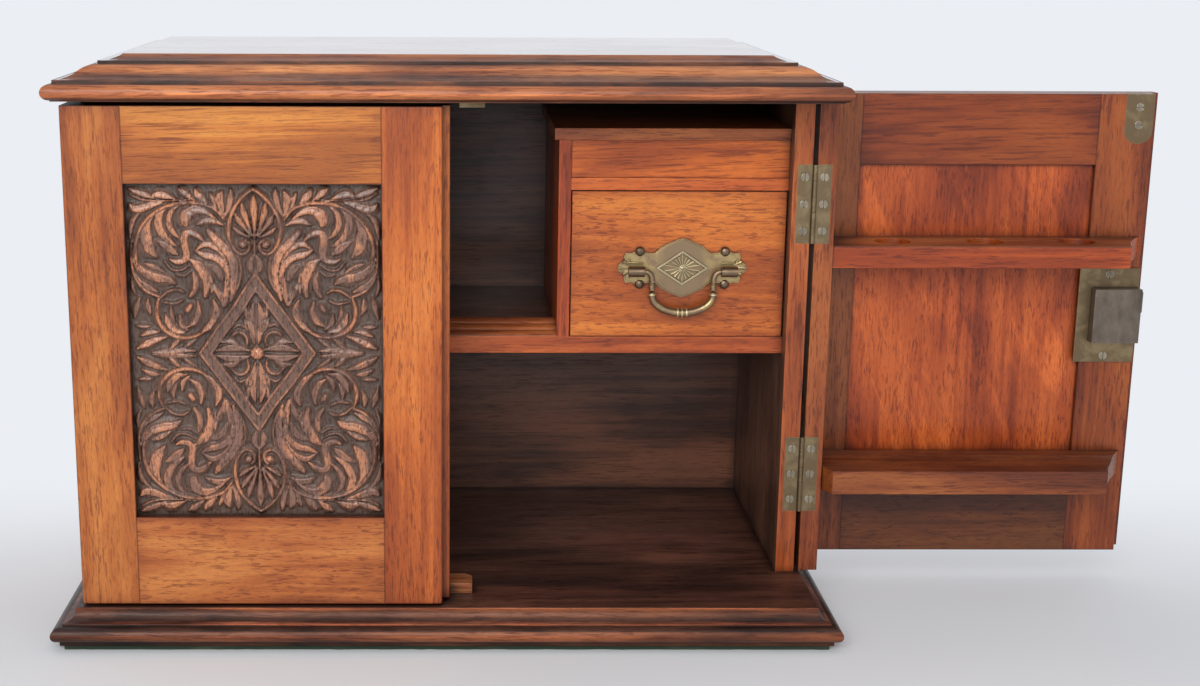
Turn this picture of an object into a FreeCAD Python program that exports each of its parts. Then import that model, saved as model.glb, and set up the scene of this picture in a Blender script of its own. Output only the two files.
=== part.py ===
import FreeCAD, Part
import math
import os

from FreeCAD import Vector

# A small oak cabinet with two tray-shaped carved doors, a drawer and pipe racks.
# Millimetres. The origin is on the ground under the middle of the case,
# +X is to the right as seen from the front, +Y to the back and +Z up.

# Case
case_width = 400.0
case_depth = 215.0
inside_height = 275.2
side_thickness = 10.6
side_housing = 4.0
back_thickness = 8.0
back_rebate = 5.0

# Base board with its baize
baize_thickness = 3.0
baize_reach = 9.6
base_thickness = 19.0
base_foot = 2.4
base_bead_radius = 4.2
base_bead_reach = 15.4
base_quirk = 1.6
base_fillet = 1.0
base_cove = 6.2

# Cornice board and top board
cornice_thickness = 10.8
cornice_foot = 0.6
cornice_bead_radius = 4.1
cornice_bead_reach = 7.6
cornice_quirk = 1.2
top_thickness = 11.6
top_ledge = 1.2
top_ogee_width = 18.6
top_ogee_height = 7.1
top_ogee_bow = 0.9
top_fillet = 1.6
top_shelf = 1.2
top_cove_width = 10.1
top_cove_bow = 1.0

# Shelf and the box round the drawer
shelf_setback = 63.2
shelf_thickness = 9.6
shelf_height = 127.6
reed_count = 3
reed_depth = 5.3
reed_rise = 2.5
reed_bow = 1.0
divider_x = 61.2
divider_thickness = 7.0
over_drawer = 19.9
rail_height = 6.8
rail_depth = 20.0
frieze_height = 21.2
frieze_thickness = 8.0
frieze_setback = 0.8
drawer_top_thickness = 6.5
drawer_top_overhang = 2.6

# Drawer
drawer_gap = 0.6
drawer_lift = 0.3
drawer_back_gap = 4.0
drawer_front_thickness = 12.0
drawer_front_lap = 5.0
drawer_side_thickness = 6.0
drawer_side_drop = 3.0
drawer_back_thickness = 6.0
drawer_bottom_thickness = 3.5
drawer_bottom_height = 6.0
drawer_bottom_groove = 3.0

# Drawer handle
handle_offset = 2.4
handle_low = 1.75
plate_thickness = 1.2
plate_peak = 17.4
plate_shoulder_x = 15.9
plate_shoulder_z = 8.6
plate_end_x = 32.6
plate_end_z = 7.6
plate_shell_x = 37.7
plate_shell_z = 3.2
boss_x = 24.4
boss_radius = 3.1
boss_rise = 1.6
lozenge_width = 29.0
lozenge_height = 20.0
lozenge_rise = 0.8
post_spacing = 52.0
post_drop = 1.4
post_reach = 4.4
barrel_length = 9.0
barrel_radius = 3.0
post_neck_radius = 2.0
nut_radius = 3.6
nut_thickness = 2.4
bail_wire_radius = 1.55
bail_arm_x = 17.0
bail_shoulder_radius = 4.0
bail_arm_length = 13.0
bail_corner_radius = 7.0
bail_drop = 23.8
bail_collar_radius = 2.1
bail_collar_width = 1.0
bail_collar_pitch = 2.2
bail_end_gap = 1.0

# Doors
door_foot_gap = 1.0
door_head_gap = 2.4
door_depth = 51.5
door_thickness = 17.5
hinge_stile_width = 31.2
meeting_stile_edge = 34.5
top_rail_height = 40.2
bottom_rail_height = 49.6
door_edge_round = 1.0
return_thickness = 10.6
front_joint_x = -2.1
front_joint_gap = 2.0
rear_joint_x = 2.4
rear_joint_gap = 3.0
lip_thickness = 8.4
lip_gap = 0.8

# Carved panel and its groove
groove_depth = 8.0
groove_width = 6.0
groove_setback = 7.5
panel_play = 0.4
panel_slack = 0.1
panel_recess = 5.2
panel_back_recess = 3.0
carving_rise = 3.6
frame_band = 5.6
flower_radius = 4.0
arch_band = 3.4
arch_bow = 6.0
volute_radius = 4.6
scroll_band = 5.0
eye_band = 4.0

# Places in the carving, as shares of the panel's half width and half height
frame_wide = 0.453
frame_high = 0.462
arch_wide = 0.211
arch_foot = 0.604
arch_peak = 0.967
volute_x = 0.089
scroll_x = 0.638
scroll_z = 0.62
scroll_radius = 0.312
eye_x = 0.61
eye_z = 0.23
eye_radius = 0.18

# Pipe rack and pipe rest inside each door, their heights as shares of the door's
rack_share = 0.6545
rack_thickness = 12.4
rack_projection = 33.0
rack_edge_round = 2.0
rack_hole_radius = 10.0
rack_hole_first = 47.6
rack_hole_last = 37.2
rack_hole_count = 3
rack_end_front = 22.6
rack_end_back = 6.2
rack_end_bow = 2.0
rest_share = 0.1795
rest_thickness = 13.5
rest_projection = 42.5
rest_end_front = 28.1
rest_hinge_end = 15.5
rest_groove_depth = 3.0
rest_groove_radius = 20.0

# Butt hinges
hinge_gap = 0.8
hinge_inset = 58.0
hinge_length = 44.0
leaf_width = 8.0
leaf_thickness = 1.0
pin_offset = 1.4
pin_radius = 0.7
pin_fit = 0.04
knuckle_radius = 1.35
knuckle_count = 5
knuckle_gap = 0.3
hinge_screw_pitch = 15.0

# Countersunk screws
screw_head_radius = 2.3
screw_shank_radius = 1.2
screw_length = 8.5
screw_slot_width = 0.6
screw_slot_depth = 0.5
screw_fit = 0.05

# Lock, keyhole and catch on the right door
lock_gap = 6.0
lock_plate_width = 34.5
lock_plate_height = 55.4
lock_plate_thickness = 1.2
lock_plate_margin = 3.6
lock_case_width = 27.0
lock_case_height = 31.6
lock_case_thickness = 6.5
lock_case_base = 12.6
bolt_height = 12.0
bolt_thickness = 3.0
bolt_length = 18.0
bolt_nose = 1.2
bolt_fit = 0.15
bolt_top_margin = 1.8
key_x = 17.0
key_radius = 2.2
key_slot_width = 1.8
key_slot_drop = 6.0
key_depth = 2.5
escutcheon_width = 11.0
escutcheon_height = 19.0
escutcheon_thickness = 1.0
escutcheon_pin_inset = 2.6
escutcheon_pin_radius = 0.6
escutcheon_pin_length = 6.0
catch_width = 16.0
catch_height = 28.0
catch_thickness = 0.9
catch_fold = 8.0
catch_corner = 7.5
catch_screw_first = 7.4
catch_screw_pitch = 10.0
catch_screw_length = 7.0

# Stops on the case
stop_gap = 0.4
stop_block_width = 27.0
stop_block_depth = 15.5
stop_block_height = 6.0
stop_block_clip = 4.0
top_stop_x = 5.8
top_stop_width = 13.2
top_stop_thickness = 1.2
top_stop_drop = 4.4
top_stop_depth = 12.0
top_stop_screw_inset = 3.4

# Slide bolt inside the left door
slide_x = 16.0
slide_plate_width = 11.0
slide_plate_height = 38.0
slide_plate_top = 4.6
slide_plate_thickness = 1.0
slide_bar_width = 5.0
slide_bar_thickness = 2.2
slide_bar_length = 36.0
slide_bar_top = 0.8
slide_fit = 0.15
slide_strap_height = 4.0
slide_strap_inset = 7.0
slide_strap_thickness = 1.0
slide_knob_radius = 2.4
slide_knob_height = 3.6
slide_knob_drop = 27.0
slide_screw_inset = 3.0
slide_keep_depth = 8.0
slide_keep_play = 0.6

# Levels and planes that follow from the sizes above
floor_z = baize_thickness + base_thickness
cornice_z = floor_z + inside_height
top_z = cornice_z + cornice_thickness
door_bottom = floor_z + door_foot_gap
door_top = cornice_z - door_head_gap
half_width = case_width / 2
front_y = -case_depth / 2
back_y = case_depth / 2
inner_y = front_y + door_thickness
return_back_y = front_y + door_depth
side_front_y = return_back_y + hinge_gap
pin_x = half_width + pin_offset
pin_y = return_back_y + hinge_gap / 2
side_inner_x = half_width - side_thickness
return_inner_x = half_width - return_thickness
back_inner_y = back_y - back_thickness
shelf_front_y = front_y + shelf_setback
shelf_bottom_z = floor_z + shelf_height
shelf_z = shelf_bottom_z + shelf_thickness
divider_right_x = divider_x + divider_thickness
drawer_top_z = cornice_z - over_drawer - drawer_top_thickness
frieze_z = drawer_top_z - frieze_height
rail_z = frieze_z - rail_height
groove_front_y = front_y + groove_setback
groove_back_y = groove_front_y + groove_width
opening_left = meeting_stile_edge
opening_right = half_width - hinge_stile_width
opening_bottom = door_bottom + bottom_rail_height
opening_top = door_top - top_rail_height
rack_z = door_bottom + rack_share * (door_top - door_bottom)
rest_z = door_bottom + rest_share * (door_top - door_bottom)
rack_hole_pitch = (return_inner_x - rack_hole_last - rack_hole_first) / (rack_hole_count - 1)
lock_z = rack_z - lock_gap - lock_plate_height
lip_edge_x = front_joint_x + front_joint_gap / 2
rear_edge_x = rear_joint_x + rear_joint_gap / 2
left_front_edge_x = front_joint_x - front_joint_gap / 2
left_tongue_edge_x = rear_joint_x - rear_joint_gap / 2

along_x = Vector(1, 0, 0)
along_y = Vector(0, 1, 0)
along_z = Vector(0, 0, 1)
origin = Vector(0, 0, 0)


def block(x0, x1, y0, y1, z0, z1):
    return Part.makeBox(x1 - x0, y1 - y0, z1 - z0, Vector(x0, y0, z0))


def prism(steps, place, push):
    """Extrude a closed outline; a step is a point, or (middle, end) for an arc."""
    edges = []
    last = steps[0]
    for step in steps[1:] + steps[:1]:
        end = end_of(step)
        if end is step:
            edges.append(Part.LineSegment(place(*last), place(*end)).toShape())
        else:
            edges.append(Part.Arc(place(*last), place(*step[0]), place(*end)).toShape())
        last = end
    return Part.Face(Part.Wire(edges)).extrude(push)


def end_of(step):
    return step[1] if isinstance(step[0], tuple) else step


def bowed(start, end, bow):
    """Arc step from start to end whose middle lies bow to the left of the way there."""
    run = end[0] - start[0]
    rise = end[1] - start[1]
    length = math.hypot(run, rise)
    middle = ((start[0] + end[0] - 2 * bow * rise / length) / 2,
              (start[1] + end[1] + 2 * bow * run / length) / 2)
    return middle, end


def edges_on(shape, **where):
    """Edges whose ends all lie on the given coordinates, such as x=3, z=5."""
    def lies_there(edge):
        return all(abs(getattr(corner.Point, axis) - value) < 1e-6
                   for corner in edge.Vertexes for axis, value in where.items())
    return [edge for edge in shape.Edges if lies_there(edge)]


def together(shapes):
    whole = shapes[0]
    for shape in shapes[1:]:
        whole = whole.fuse(shape)
    return whole.removeSplitter()


def mirrored(shape):
    return shape.mirror(origin, along_x)


def both_sides(shape):
    return Part.Compound([shape, mirrored(shape)])


def swung_open(shape):
    """The right door stands open by half a turn about its hinge pins."""
    opened = shape.copy()
    opened.rotate(Vector(pin_x, pin_y, 0), along_z, 180)
    return opened


# Screws

def screw(head, way, slot_along, length=screw_length):
    """Slotted countersunk screw; the head's face is flush with the leaf or plate."""
    cone = Part.makeCone(screw_head_radius, screw_shank_radius, leaf_thickness, head, way)
    shank = Part.makeCylinder(screw_shank_radius, length, head, way)
    across = slot_along.cross(way)
    corner = (head - slot_along * screw_head_radius - across * (screw_slot_width / 2))
    slot = Part.Face(Part.makePolygon([
        corner,
        corner + slot_along * (2 * screw_head_radius),
        corner + slot_along * (2 * screw_head_radius) + across * screw_slot_width,
        corner + across * screw_slot_width,
        corner])).extrude(way * screw_slot_depth)
    return cone.fuse(shank).removeSplitter().cut(slot)


def screw_hole(head, way, length=screw_length):
    """Room for a screw: its countersink and its shank."""
    radius = screw_shank_radius + screw_fit
    cone = Part.makeCone(screw_head_radius + screw_fit, radius, leaf_thickness, head, way)
    return cone.fuse(Part.makeCylinder(radius, length + screw_fit, head, way))


# Moulded boards

def moulded_board(profile):
    """A board with one moulding run round all four edges; points are (reach, height)."""
    bottom = profile[0][1]
    top = end_of(profile[-1])[1]
    span = 2 * (case_width + case_depth)
    side = prism([(-half_width, bottom)] + profile + [(-half_width, top)],
                 lambda reach, z: Vector(half_width + reach, -span / 2, z), along_y * span)
    back = prism([(front_y, bottom)] + profile + [(front_y, top)],
                 lambda reach, z: Vector(-span / 2, back_y + reach, z), along_x * span)
    across = side.fuse(mirrored(side))
    along = back.fuse(back.mirror(origin, along_y))
    return across.common(along).removeSplitter()


def bead(reach, radius, bottom):
    """Half-round bead step that starts and ends under its own middle."""
    return ((reach, bottom + radius), (reach - radius, bottom + 2 * radius))


def base_profile():
    bead_x = base_bead_reach - base_bead_radius
    bead_bottom = baize_thickness + base_foot
    bead_top = bead_bottom + 2 * base_bead_radius
    cove_x = bead_x - base_quirk
    cove_bottom = bead_top + base_fillet
    lip_x = cove_x - base_cove
    half_way = base_cove * math.sqrt(0.5)
    cove_middle = (cove_x - half_way, cove_bottom + base_cove - half_way)
    return [(bead_x, baize_thickness), (bead_x, bead_bottom),
            bead(base_bead_reach, base_bead_radius, bead_bottom),
            (cove_x, bead_top), (cove_x, cove_bottom),
            (cove_middle, (lip_x, cove_bottom + base_cove)),
            (lip_x, floor_z)]


def cornice_profile():
    bead_x = cornice_bead_reach - cornice_bead_radius
    bead_bottom = cornice_z + cornice_foot
    quirk_x = bead_x - cornice_quirk
    return [(bead_x, cornice_z), (bead_x, bead_bottom),
            bead(cornice_bead_reach, cornice_bead_radius, bead_bottom),
            (quirk_x, bead_bottom + 2 * cornice_bead_radius), (quirk_x, top_z)]


def top_profile():
    quirk_x = cornice_bead_reach - cornice_bead_radius - cornice_quirk
    ogee_x = quirk_x - top_ledge
    ogee_middle = (ogee_x - top_ogee_width / 2, top_z + top_ogee_height / 2)
    ogee_end = (ogee_x - top_ogee_width, top_z + top_ogee_height)
    shelf_height_here = ogee_end[1] + top_fillet
    cove_start = (ogee_end[0] - top_shelf, shelf_height_here)
    cove_end = (cove_start[0] - top_cove_width, top_z + top_thickness)
    return [(ogee_x, top_z),
            bowed((ogee_x, top_z), ogee_middle, top_ogee_bow),
            bowed(ogee_middle, ogee_end, -top_ogee_bow),
            (ogee_end[0], shelf_height_here), cove_start,
            bowed(cove_start, cove_end, top_cove_bow)]


def side_pockets():
    """Housings for the ends of both sides, in the base and in the cornice."""
    pocket = block(side_inner_x, half_width, side_front_y, back_inner_y,
                   floor_z - side_housing, cornice_z + side_housing)
    return both_sides(pocket)


def base_board():
    return moulded_board(base_profile()).cut(side_pockets())


def baize_pad():
    return block(-half_width - baize_reach, half_width + baize_reach,
                 front_y - baize_reach, back_y + baize_reach, 0, baize_thickness)


def top_stop_screws_at():
    y = front_y + door_thickness + stop_gap + top_stop_depth - top_stop_screw_inset
    ends = (top_stop_x + top_stop_screw_inset,
            top_stop_x + top_stop_width - top_stop_screw_inset)
    return [Vector(x, y, cornice_z - top_stop_thickness) for x in ends]


def cornice_board():
    board = moulded_board(cornice_profile()).cut(side_pockets())
    for head in top_stop_screws_at():
        board = board.cut(screw_hole(head, along_z))
    bar_y = inner_y + slide_plate_thickness + slide_fit
    keep = block(-slide_x - slide_bar_width / 2 - slide_keep_play,
                 -slide_x + slide_bar_width / 2 + slide_keep_play,
                 bar_y - slide_keep_play, bar_y + slide_bar_thickness + slide_keep_play,
                 cornice_z, cornice_z + slide_keep_depth)
    return board.cut(keep)


def top_board():
    return moulded_board(top_profile())


# Hinges, all worked out on the right-hand side with the door shut

def hinge_centres():
    return (door_bottom + hinge_inset, door_top - hinge_inset)


def knuckle_spans(centre, first):
    """Heights of every second knuckle, starting with the first or the one above it."""
    step = hinge_length / knuckle_count
    bottom = centre - hinge_length / 2
    return [(bottom + step * i + knuckle_gap / 2, bottom + step * (i + 1) - knuckle_gap / 2)
            for i in range(first, knuckle_count, 2)]


def leaf_box(centre, y0):
    return block(half_width - leaf_width, half_width, y0, y0 + leaf_thickness,
                 centre - hinge_length / 2, centre + hinge_length / 2)


def leaf_screw_heads(y):
    x = half_width - leaf_width / 2
    return [Vector(x, y, centre + hinge_screw_pitch * i)
            for centre in hinge_centres() for i in (-1, 0, 1)]


def leaves(y0, first_knuckle, screw_y, way):
    """Both leaves of one side: plates with wrapped knuckles and countersunk holes."""
    found = []
    for centre in hinge_centres():
        leaf = leaf_box(centre, y0)
        for low, high in knuckle_spans(centre, first_knuckle):
            tab = block(half_width, pin_x, y0, y0 + leaf_thickness, low, high)
            knuckle = Part.makeCylinder(knuckle_radius, high - low, Vector(pin_x, pin_y, low))
            bore = Part.makeCylinder(pin_radius + pin_fit, high - low, Vector(pin_x, pin_y, low))
            leaf = leaf.fuse(tab).fuse(knuckle).cut(bore)
        for head in leaf_screw_heads(screw_y):
            leaf = leaf.cut(screw_hole(head, way))
        found.append(leaf.removeSplitter())
    return Part.Compound(found)


def case_leaves():
    return leaves(side_front_y, 0, side_front_y, along_y)


def door_leaves():
    return leaves(return_back_y - leaf_thickness, 1, return_back_y, -along_y)


def leaf_screws(y, way):
    return Part.Compound([screw(head, way, along_z) for head in leaf_screw_heads(y)])


def hinge_pins():
    pins = [Part.makeCylinder(pin_radius, hinge_length,
                              Vector(pin_x, pin_y, centre - hinge_length / 2))
            for centre in hinge_centres()]
    return both_sides(Part.Compound(pins))


# Case

def case_side():
    """The right-hand side, housed top and bottom, with its hinge recesses."""
    side = block(side_inner_x, half_width, side_front_y, back_y,
                 floor_z, cornice_z)
    tongues = block(side_inner_x, half_width, side_front_y, back_inner_y,
                    floor_z - side_housing, cornice_z + side_housing)
    side = side.fuse(tongues).removeSplitter()
    side = side.cut(block(side_inner_x, half_width - back_rebate, back_inner_y, back_y,
                          floor_z, cornice_z))
    side = side.cut(block(side_inner_x, side_inner_x + side_housing, shelf_front_y, back_inner_y,
                          shelf_bottom_z, shelf_z))
    for centre in hinge_centres():
        side = side.cut(leaf_box(centre, side_front_y))
    for head in leaf_screw_heads(side_front_y):
        side = side.cut(screw_hole(head, along_y))
    return side


def back_panel():
    reach = half_width - back_rebate
    return block(-reach, reach, back_inner_y, back_y, floor_z, cornice_z)


def shelf():
    reach = side_inner_x + side_housing
    return block(-reach, reach, shelf_front_y, back_inner_y, shelf_bottom_z, shelf_z)


def shelf_lip():
    """Strip of rising reeds along the shelf's front edge, left of the divider."""
    steps = [(0.0, 0.0)]
    for i in range(reed_count):
        start = (reed_depth * i, reed_rise * i)
        steps.append(bowed(start, (reed_depth * (i + 1), reed_rise * (i + 1)), reed_bow))
    steps.append((reed_depth * reed_count, 0.0))
    return prism(steps, lambda depth, rise: Vector(-side_inner_x, shelf_front_y + depth, shelf_z + rise),
                 along_x * (side_inner_x + divider_x))


def drawer_divider():
    return block(divider_x, divider_right_x, shelf_front_y, back_inner_y, shelf_z, drawer_top_z)


def drawer_case_top():
    board = block(divider_x - drawer_top_overhang, side_inner_x, shelf_front_y - frieze_setback,
                  back_inner_y, drawer_top_z, drawer_top_z + drawer_top_thickness)
    edges = edges_on(board, x=divider_x - drawer_top_overhang, z=drawer_top_z + drawer_top_thickness)
    return board.makeFillet(frieze_setback, edges)


def drawer_frieze():
    face_y = shelf_front_y + frieze_setback
    return block(divider_right_x, side_inner_x, face_y, face_y + frieze_thickness,
                 frieze_z, drawer_top_z)


def drawer_rail():
    return block(divider_right_x, side_inner_x, shelf_front_y, shelf_front_y + rail_depth,
                 rail_z, frieze_z)


def door_stop_block():
    stop_y = inner_y + stop_gap
    half = stop_block_width / 2
    back = stop_y + stop_block_depth
    return prism([(-half, stop_y), (half, stop_y), (half, back - stop_block_clip),
                  (half - stop_block_clip, back), (stop_block_clip - half, back),
                  (-half, back - stop_block_clip)],
                 lambda x, y: Vector(x, y, floor_z), along_z * stop_block_height)


def top_stop():
    """Metal angle under the cornice that the right door closes against."""
    y0 = inner_y + stop_gap
    x1 = top_stop_x + top_stop_width
    foot = block(top_stop_x, x1, y0, y0 + top_stop_depth, cornice_z - top_stop_thickness, cornice_z)
    lip = block(top_stop_x, x1, y0, y0 + top_stop_thickness, cornice_z - top_stop_drop, cornice_z)
    angle = together([foot, lip])
    for head in top_stop_screws_at():
        angle = angle.cut(screw_hole(head, along_z))
    return angle


def top_stop_screws():
    return Part.Compound([screw(head, along_z, along_x) for head in top_stop_screws_at()])


# Drawer

drawer_x0 = divider_right_x + drawer_gap
drawer_x1 = side_inner_x - drawer_gap
drawer_z0 = shelf_z + drawer_lift
drawer_z1 = rail_z - drawer_gap
drawer_face_y = shelf_front_y
drawer_front_back_y = drawer_face_y + drawer_front_thickness
drawer_side_front_y = drawer_face_y + drawer_front_lap
drawer_end_y = back_inner_y - drawer_back_gap
drawer_floor_z = drawer_z0 + drawer_bottom_height
drawer_floor_top_z = drawer_floor_z + drawer_bottom_thickness
drawer_side_top_z = drawer_z1 - drawer_side_drop
handle_x = (drawer_x0 + drawer_x1) / 2 + handle_offset
handle_z = (drawer_z0 + drawer_z1) / 2 - handle_low
pivot_z = handle_z - post_drop
plate_face_y = drawer_face_y - plate_thickness
pivot_y = plate_face_y - post_reach
post_xs = (handle_x - post_spacing / 2, handle_x + post_spacing / 2)


def drawer_bottom_slab(slack):
    """The bottom in its grooves, open to the back under the drawer's back."""
    return block(drawer_x0 + drawer_side_thickness - drawer_bottom_groove + slack,
                 drawer_x1 - drawer_side_thickness + drawer_bottom_groove - slack,
                 drawer_front_back_y - drawer_bottom_groove + slack, drawer_end_y,
                 drawer_floor_z, drawer_floor_top_z)


def drawer_front():
    front = block(drawer_x0, drawer_x1, drawer_face_y, drawer_front_back_y, drawer_z0, drawer_z1)
    for x0 in (drawer_x0, drawer_x1 - drawer_side_thickness):
        front = front.cut(block(x0, x0 + drawer_side_thickness, drawer_side_front_y,
                                drawer_front_back_y, drawer_z0, drawer_side_top_z))
    front = front.cut(drawer_bottom_slab(0))
    for x in post_xs:
        front = front.cut(Part.makeCylinder(post_neck_radius + screw_fit, drawer_front_thickness,
                                            Vector(x, drawer_face_y, pivot_z), along_y))
    return front


def drawer_side(x0):
    side = block(x0, x0 + drawer_side_thickness, drawer_side_front_y, drawer_end_y,
                 drawer_z0, drawer_side_top_z)
    return side.cut(drawer_bottom_slab(0))


def drawer_back():
    return block(drawer_x0 + drawer_side_thickness, drawer_x1 - drawer_side_thickness,
                 drawer_end_y - drawer_back_thickness, drawer_end_y,
                 drawer_floor_top_z, drawer_side_top_z)


def drawer_bottom():
    return drawer_bottom_slab(panel_slack)


# Handle

def on_plate(y):
    return lambda x, z: Vector(handle_x + x, y, handle_z + z)


def plate_quarter():
    """Upper right edge of the back plate, from the middle of the top to the shell's tip."""
    boss_left = boss_x - boss_radius
    boss_right = boss_x + boss_radius
    shell_top = (plate_end_x + (plate_shell_x - plate_end_x) / 3, plate_shell_z)
    return [(0.0, plate_peak),
            bowed((0.0, plate_peak), (plate_shoulder_x, plate_shoulder_z), boss_rise),
            (boss_left, plate_shoulder_z),
            ((boss_x, plate_shoulder_z + boss_radius), (boss_right, plate_shoulder_z)),
            (plate_end_x, plate_end_z),
            bowed((plate_end_x, plate_end_z), shell_top, boss_rise)]


def turned(steps):
    """The same stretch of outline run backwards, mirrored top to bottom."""
    ends = [end_of(step) for step in steps]
    back = []
    for i in range(len(steps) - 1, 0, -1):
        end = (ends[i - 1][0], -ends[i - 1][1])
        if isinstance(steps[i][0], tuple):
            middle = (steps[i][0][0], -steps[i][0][1])
            back.append((middle, end))
        else:
            back.append(end)
    return back


def handle_backplate():
    quarter = plate_quarter()
    shell_end = (quarter[-1][1][0], -plate_shell_z)
    half = quarter + [((plate_shell_x, 0.0), shell_end)] + turned(quarter)
    sheet = prism(half, on_plate(plate_face_y), along_y * plate_thickness)
    other = sheet.mirror(Vector(handle_x, 0, 0), along_x)
    plate = together([sheet, other])
    lozenge = prism([(-lozenge_width / 2, 0.0), (0.0, lozenge_height / 2),
                     (lozenge_width / 2, 0.0), (0.0, -lozenge_height / 2)],
                    on_plate(plate_face_y - lozenge_rise), along_y * lozenge_rise)
    bosses = [Part.makeCone(boss_radius, boss_radius - boss_rise, boss_rise,
                            Vector(handle_x + x, plate_face_y, handle_z + z), -along_y)
              for x in (-boss_x, boss_x) for z in (-plate_shoulder_z, plate_shoulder_z)]
    plate = together([plate, lozenge] + bosses)
    for x in post_xs:
        plate = plate.cut(Part.makeCylinder(post_neck_radius + screw_fit, plate_thickness + boss_rise,
                                            Vector(x, plate_face_y - boss_rise, pivot_z), along_y))
    return plate


def handle_posts():
    """Two barrels on necks that go through the drawer front to their nuts."""
    posts = []
    for x in post_xs:
        neck = Part.makeCylinder(post_neck_radius, drawer_front_back_y + nut_thickness - pivot_y,
                                 Vector(x, pivot_y, pivot_z), along_y)
        barrel = Part.makeCylinder(barrel_radius, barrel_length,
                                   Vector(x - barrel_length / 2, pivot_y, pivot_z), along_x)
        bore_x = x - barrel_length / 2 if x > handle_x else x - barrel_length / 2 + bail_end_gap
        bore = Part.makeCylinder(bail_wire_radius + pin_fit, barrel_length - bail_end_gap,
                                 Vector(bore_x, pivot_y, pivot_z), along_x)
        posts.append(neck.fuse(barrel).cut(bore))
    return Part.Compound(posts)


def handle_nuts():
    nuts = []
    for x in post_xs:
        corners = [(nut_radius * math.cos(math.radians(60 * i)),
                    nut_radius * math.sin(math.radians(60 * i))) for i in range(6)]
        nut = prism(corners, lambda a, b: Vector(x + a, drawer_front_back_y, pivot_z + b),
                    along_y * nut_thickness)
        hole = Part.makeCylinder(post_neck_radius + screw_fit, nut_thickness,
                                 Vector(x, drawer_front_back_y, pivot_z), along_y)
        nuts.append(nut.cut(hole))
    return Part.Compound(nuts)


def bail_curve():
    """Radius and middle height of the bail's low sweep, tangent to both corners."""
    corner_x = bail_arm_x - bail_corner_radius
    fall = bail_drop - bail_arm_length
    radius = ((corner_x ** 2 + fall ** 2 - bail_corner_radius ** 2)
              / (2 * (fall - bail_corner_radius)))
    return radius, radius - bail_drop


def handle_bail():
    """Drop handle: a wire bent round at the posts, with turned collars."""
    def at(x, z):
        return Vector(handle_x + x, pivot_y, pivot_z + z)
    end_x = post_spacing / 2 + barrel_length / 2 - 2 * bail_end_gap
    shoulder_x = bail_arm_x + bail_shoulder_radius
    bend = bail_shoulder_radius * (1 - math.sqrt(0.5))
    radius, middle_z = bail_curve()
    lean = math.atan2(bail_arm_x - bail_corner_radius, middle_z + bail_arm_length)
    meet = (radius * math.sin(lean), middle_z - radius * math.cos(lean))
    turn = (lean + math.pi / 2) / 2
    corner = (bail_arm_x - bail_corner_radius + bail_corner_radius * math.sin(turn),
              -bail_arm_length - bail_corner_radius * math.cos(turn))
    right = [Part.LineSegment(at(end_x, 0), at(shoulder_x, 0)),
             Part.Arc(at(shoulder_x, 0), at(bail_arm_x + bend, -bend), at(bail_arm_x, -bail_shoulder_radius)),
             Part.LineSegment(at(bail_arm_x, -bail_shoulder_radius), at(bail_arm_x, -bail_arm_length)),
             Part.Arc(at(bail_arm_x, -bail_arm_length), at(*corner), at(*meet))]
    sweep = Part.Arc(at(*meet), at(0, -bail_drop), at(-meet[0], meet[1]))
    left = [piece.toShape().mirror(Vector(handle_x, 0, 0), along_x) for piece in reversed(right)]
    path = Part.Wire([piece.toShape() for piece in right] + [sweep.toShape()] + left)
    section = Part.Wire(Part.makeCircle(bail_wire_radius, at(end_x, 0), along_x))
    bail = path.makePipeShell([section], True, False)
    collars = [Part.makeCylinder(bail_collar_radius, bail_collar_width,
                                 at(bail_collar_pitch * i - bail_collar_width / 2, -bail_drop), along_x)
               for i in (-1, 0, 1)]
    collars += [Part.makeCylinder(bail_collar_radius, bail_collar_width, at(x, -bail_arm_length), along_z)
                for x in (-bail_arm_x, bail_arm_x)]
    return together([bail] + collars)


# Doors, worked out for the right-hand door when it is shut

def stile_groove(x0):
    return block(x0, x0 + groove_depth, groove_front_y, groove_back_y, door_bottom, door_top)


def hinge_stile():
    stile = block(opening_right, half_width, front_y, inner_y, door_bottom, door_top)
    outer = edges_on(stile, x=half_width, y=front_y)
    return stile.makeFillet(door_edge_round, outer).cut(stile_groove(opening_right))


def lock_screw_heads():
    x = rear_edge_x + lock_plate_width / 2
    face = inner_y + lock_plate_thickness
    return [Vector(x, face, lock_z + lock_plate_margin),
            Vector(x, face, lock_z + lock_plate_height - lock_plate_margin)]


def catch_screw_heads():
    x = rear_edge_x + catch_width / 2
    return [Vector(x, inner_y, door_top - catch_screw_first - catch_screw_pitch * i) for i in (0, 1)]


def catch_strip(slack):
    """The folded brass plate let into the door's inner top corner."""
    x1 = rear_edge_x + catch_width
    leg = block(rear_edge_x, x1, inner_y - catch_thickness, inner_y + slack,
                door_top - catch_height, door_top + slack)
    corners = edges_on(leg, z=door_top - catch_height, x=rear_edge_x)
    corners += edges_on(leg, z=door_top - catch_height, x=x1)
    leg = leg.makeFillet(catch_corner, corners)
    fold = block(rear_edge_x, x1, inner_y - catch_fold, inner_y + slack,
                 door_top - catch_thickness, door_top + slack)
    return together([leg, fold])


def keyhole(y0, y1):
    """Keyhole through everything between two depths."""
    z = key_z()
    eye = Part.makeCylinder(key_radius, y1 - y0, Vector(key_x, y0, z), along_y)
    slot = block(key_x - key_slot_width / 2, key_x + key_slot_width / 2, y0, y1, z - key_slot_drop, z)
    return eye.fuse(slot)


def lock_case_z():
    return lock_z + lock_case_base


def key_z():
    """The key turns under the bolt, in the lower half of the lock."""
    return bolt_z() - bolt_fit - key_radius


def bolt_z():
    return lock_case_z() + lock_case_height - bolt_top_margin - bolt_height


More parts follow.
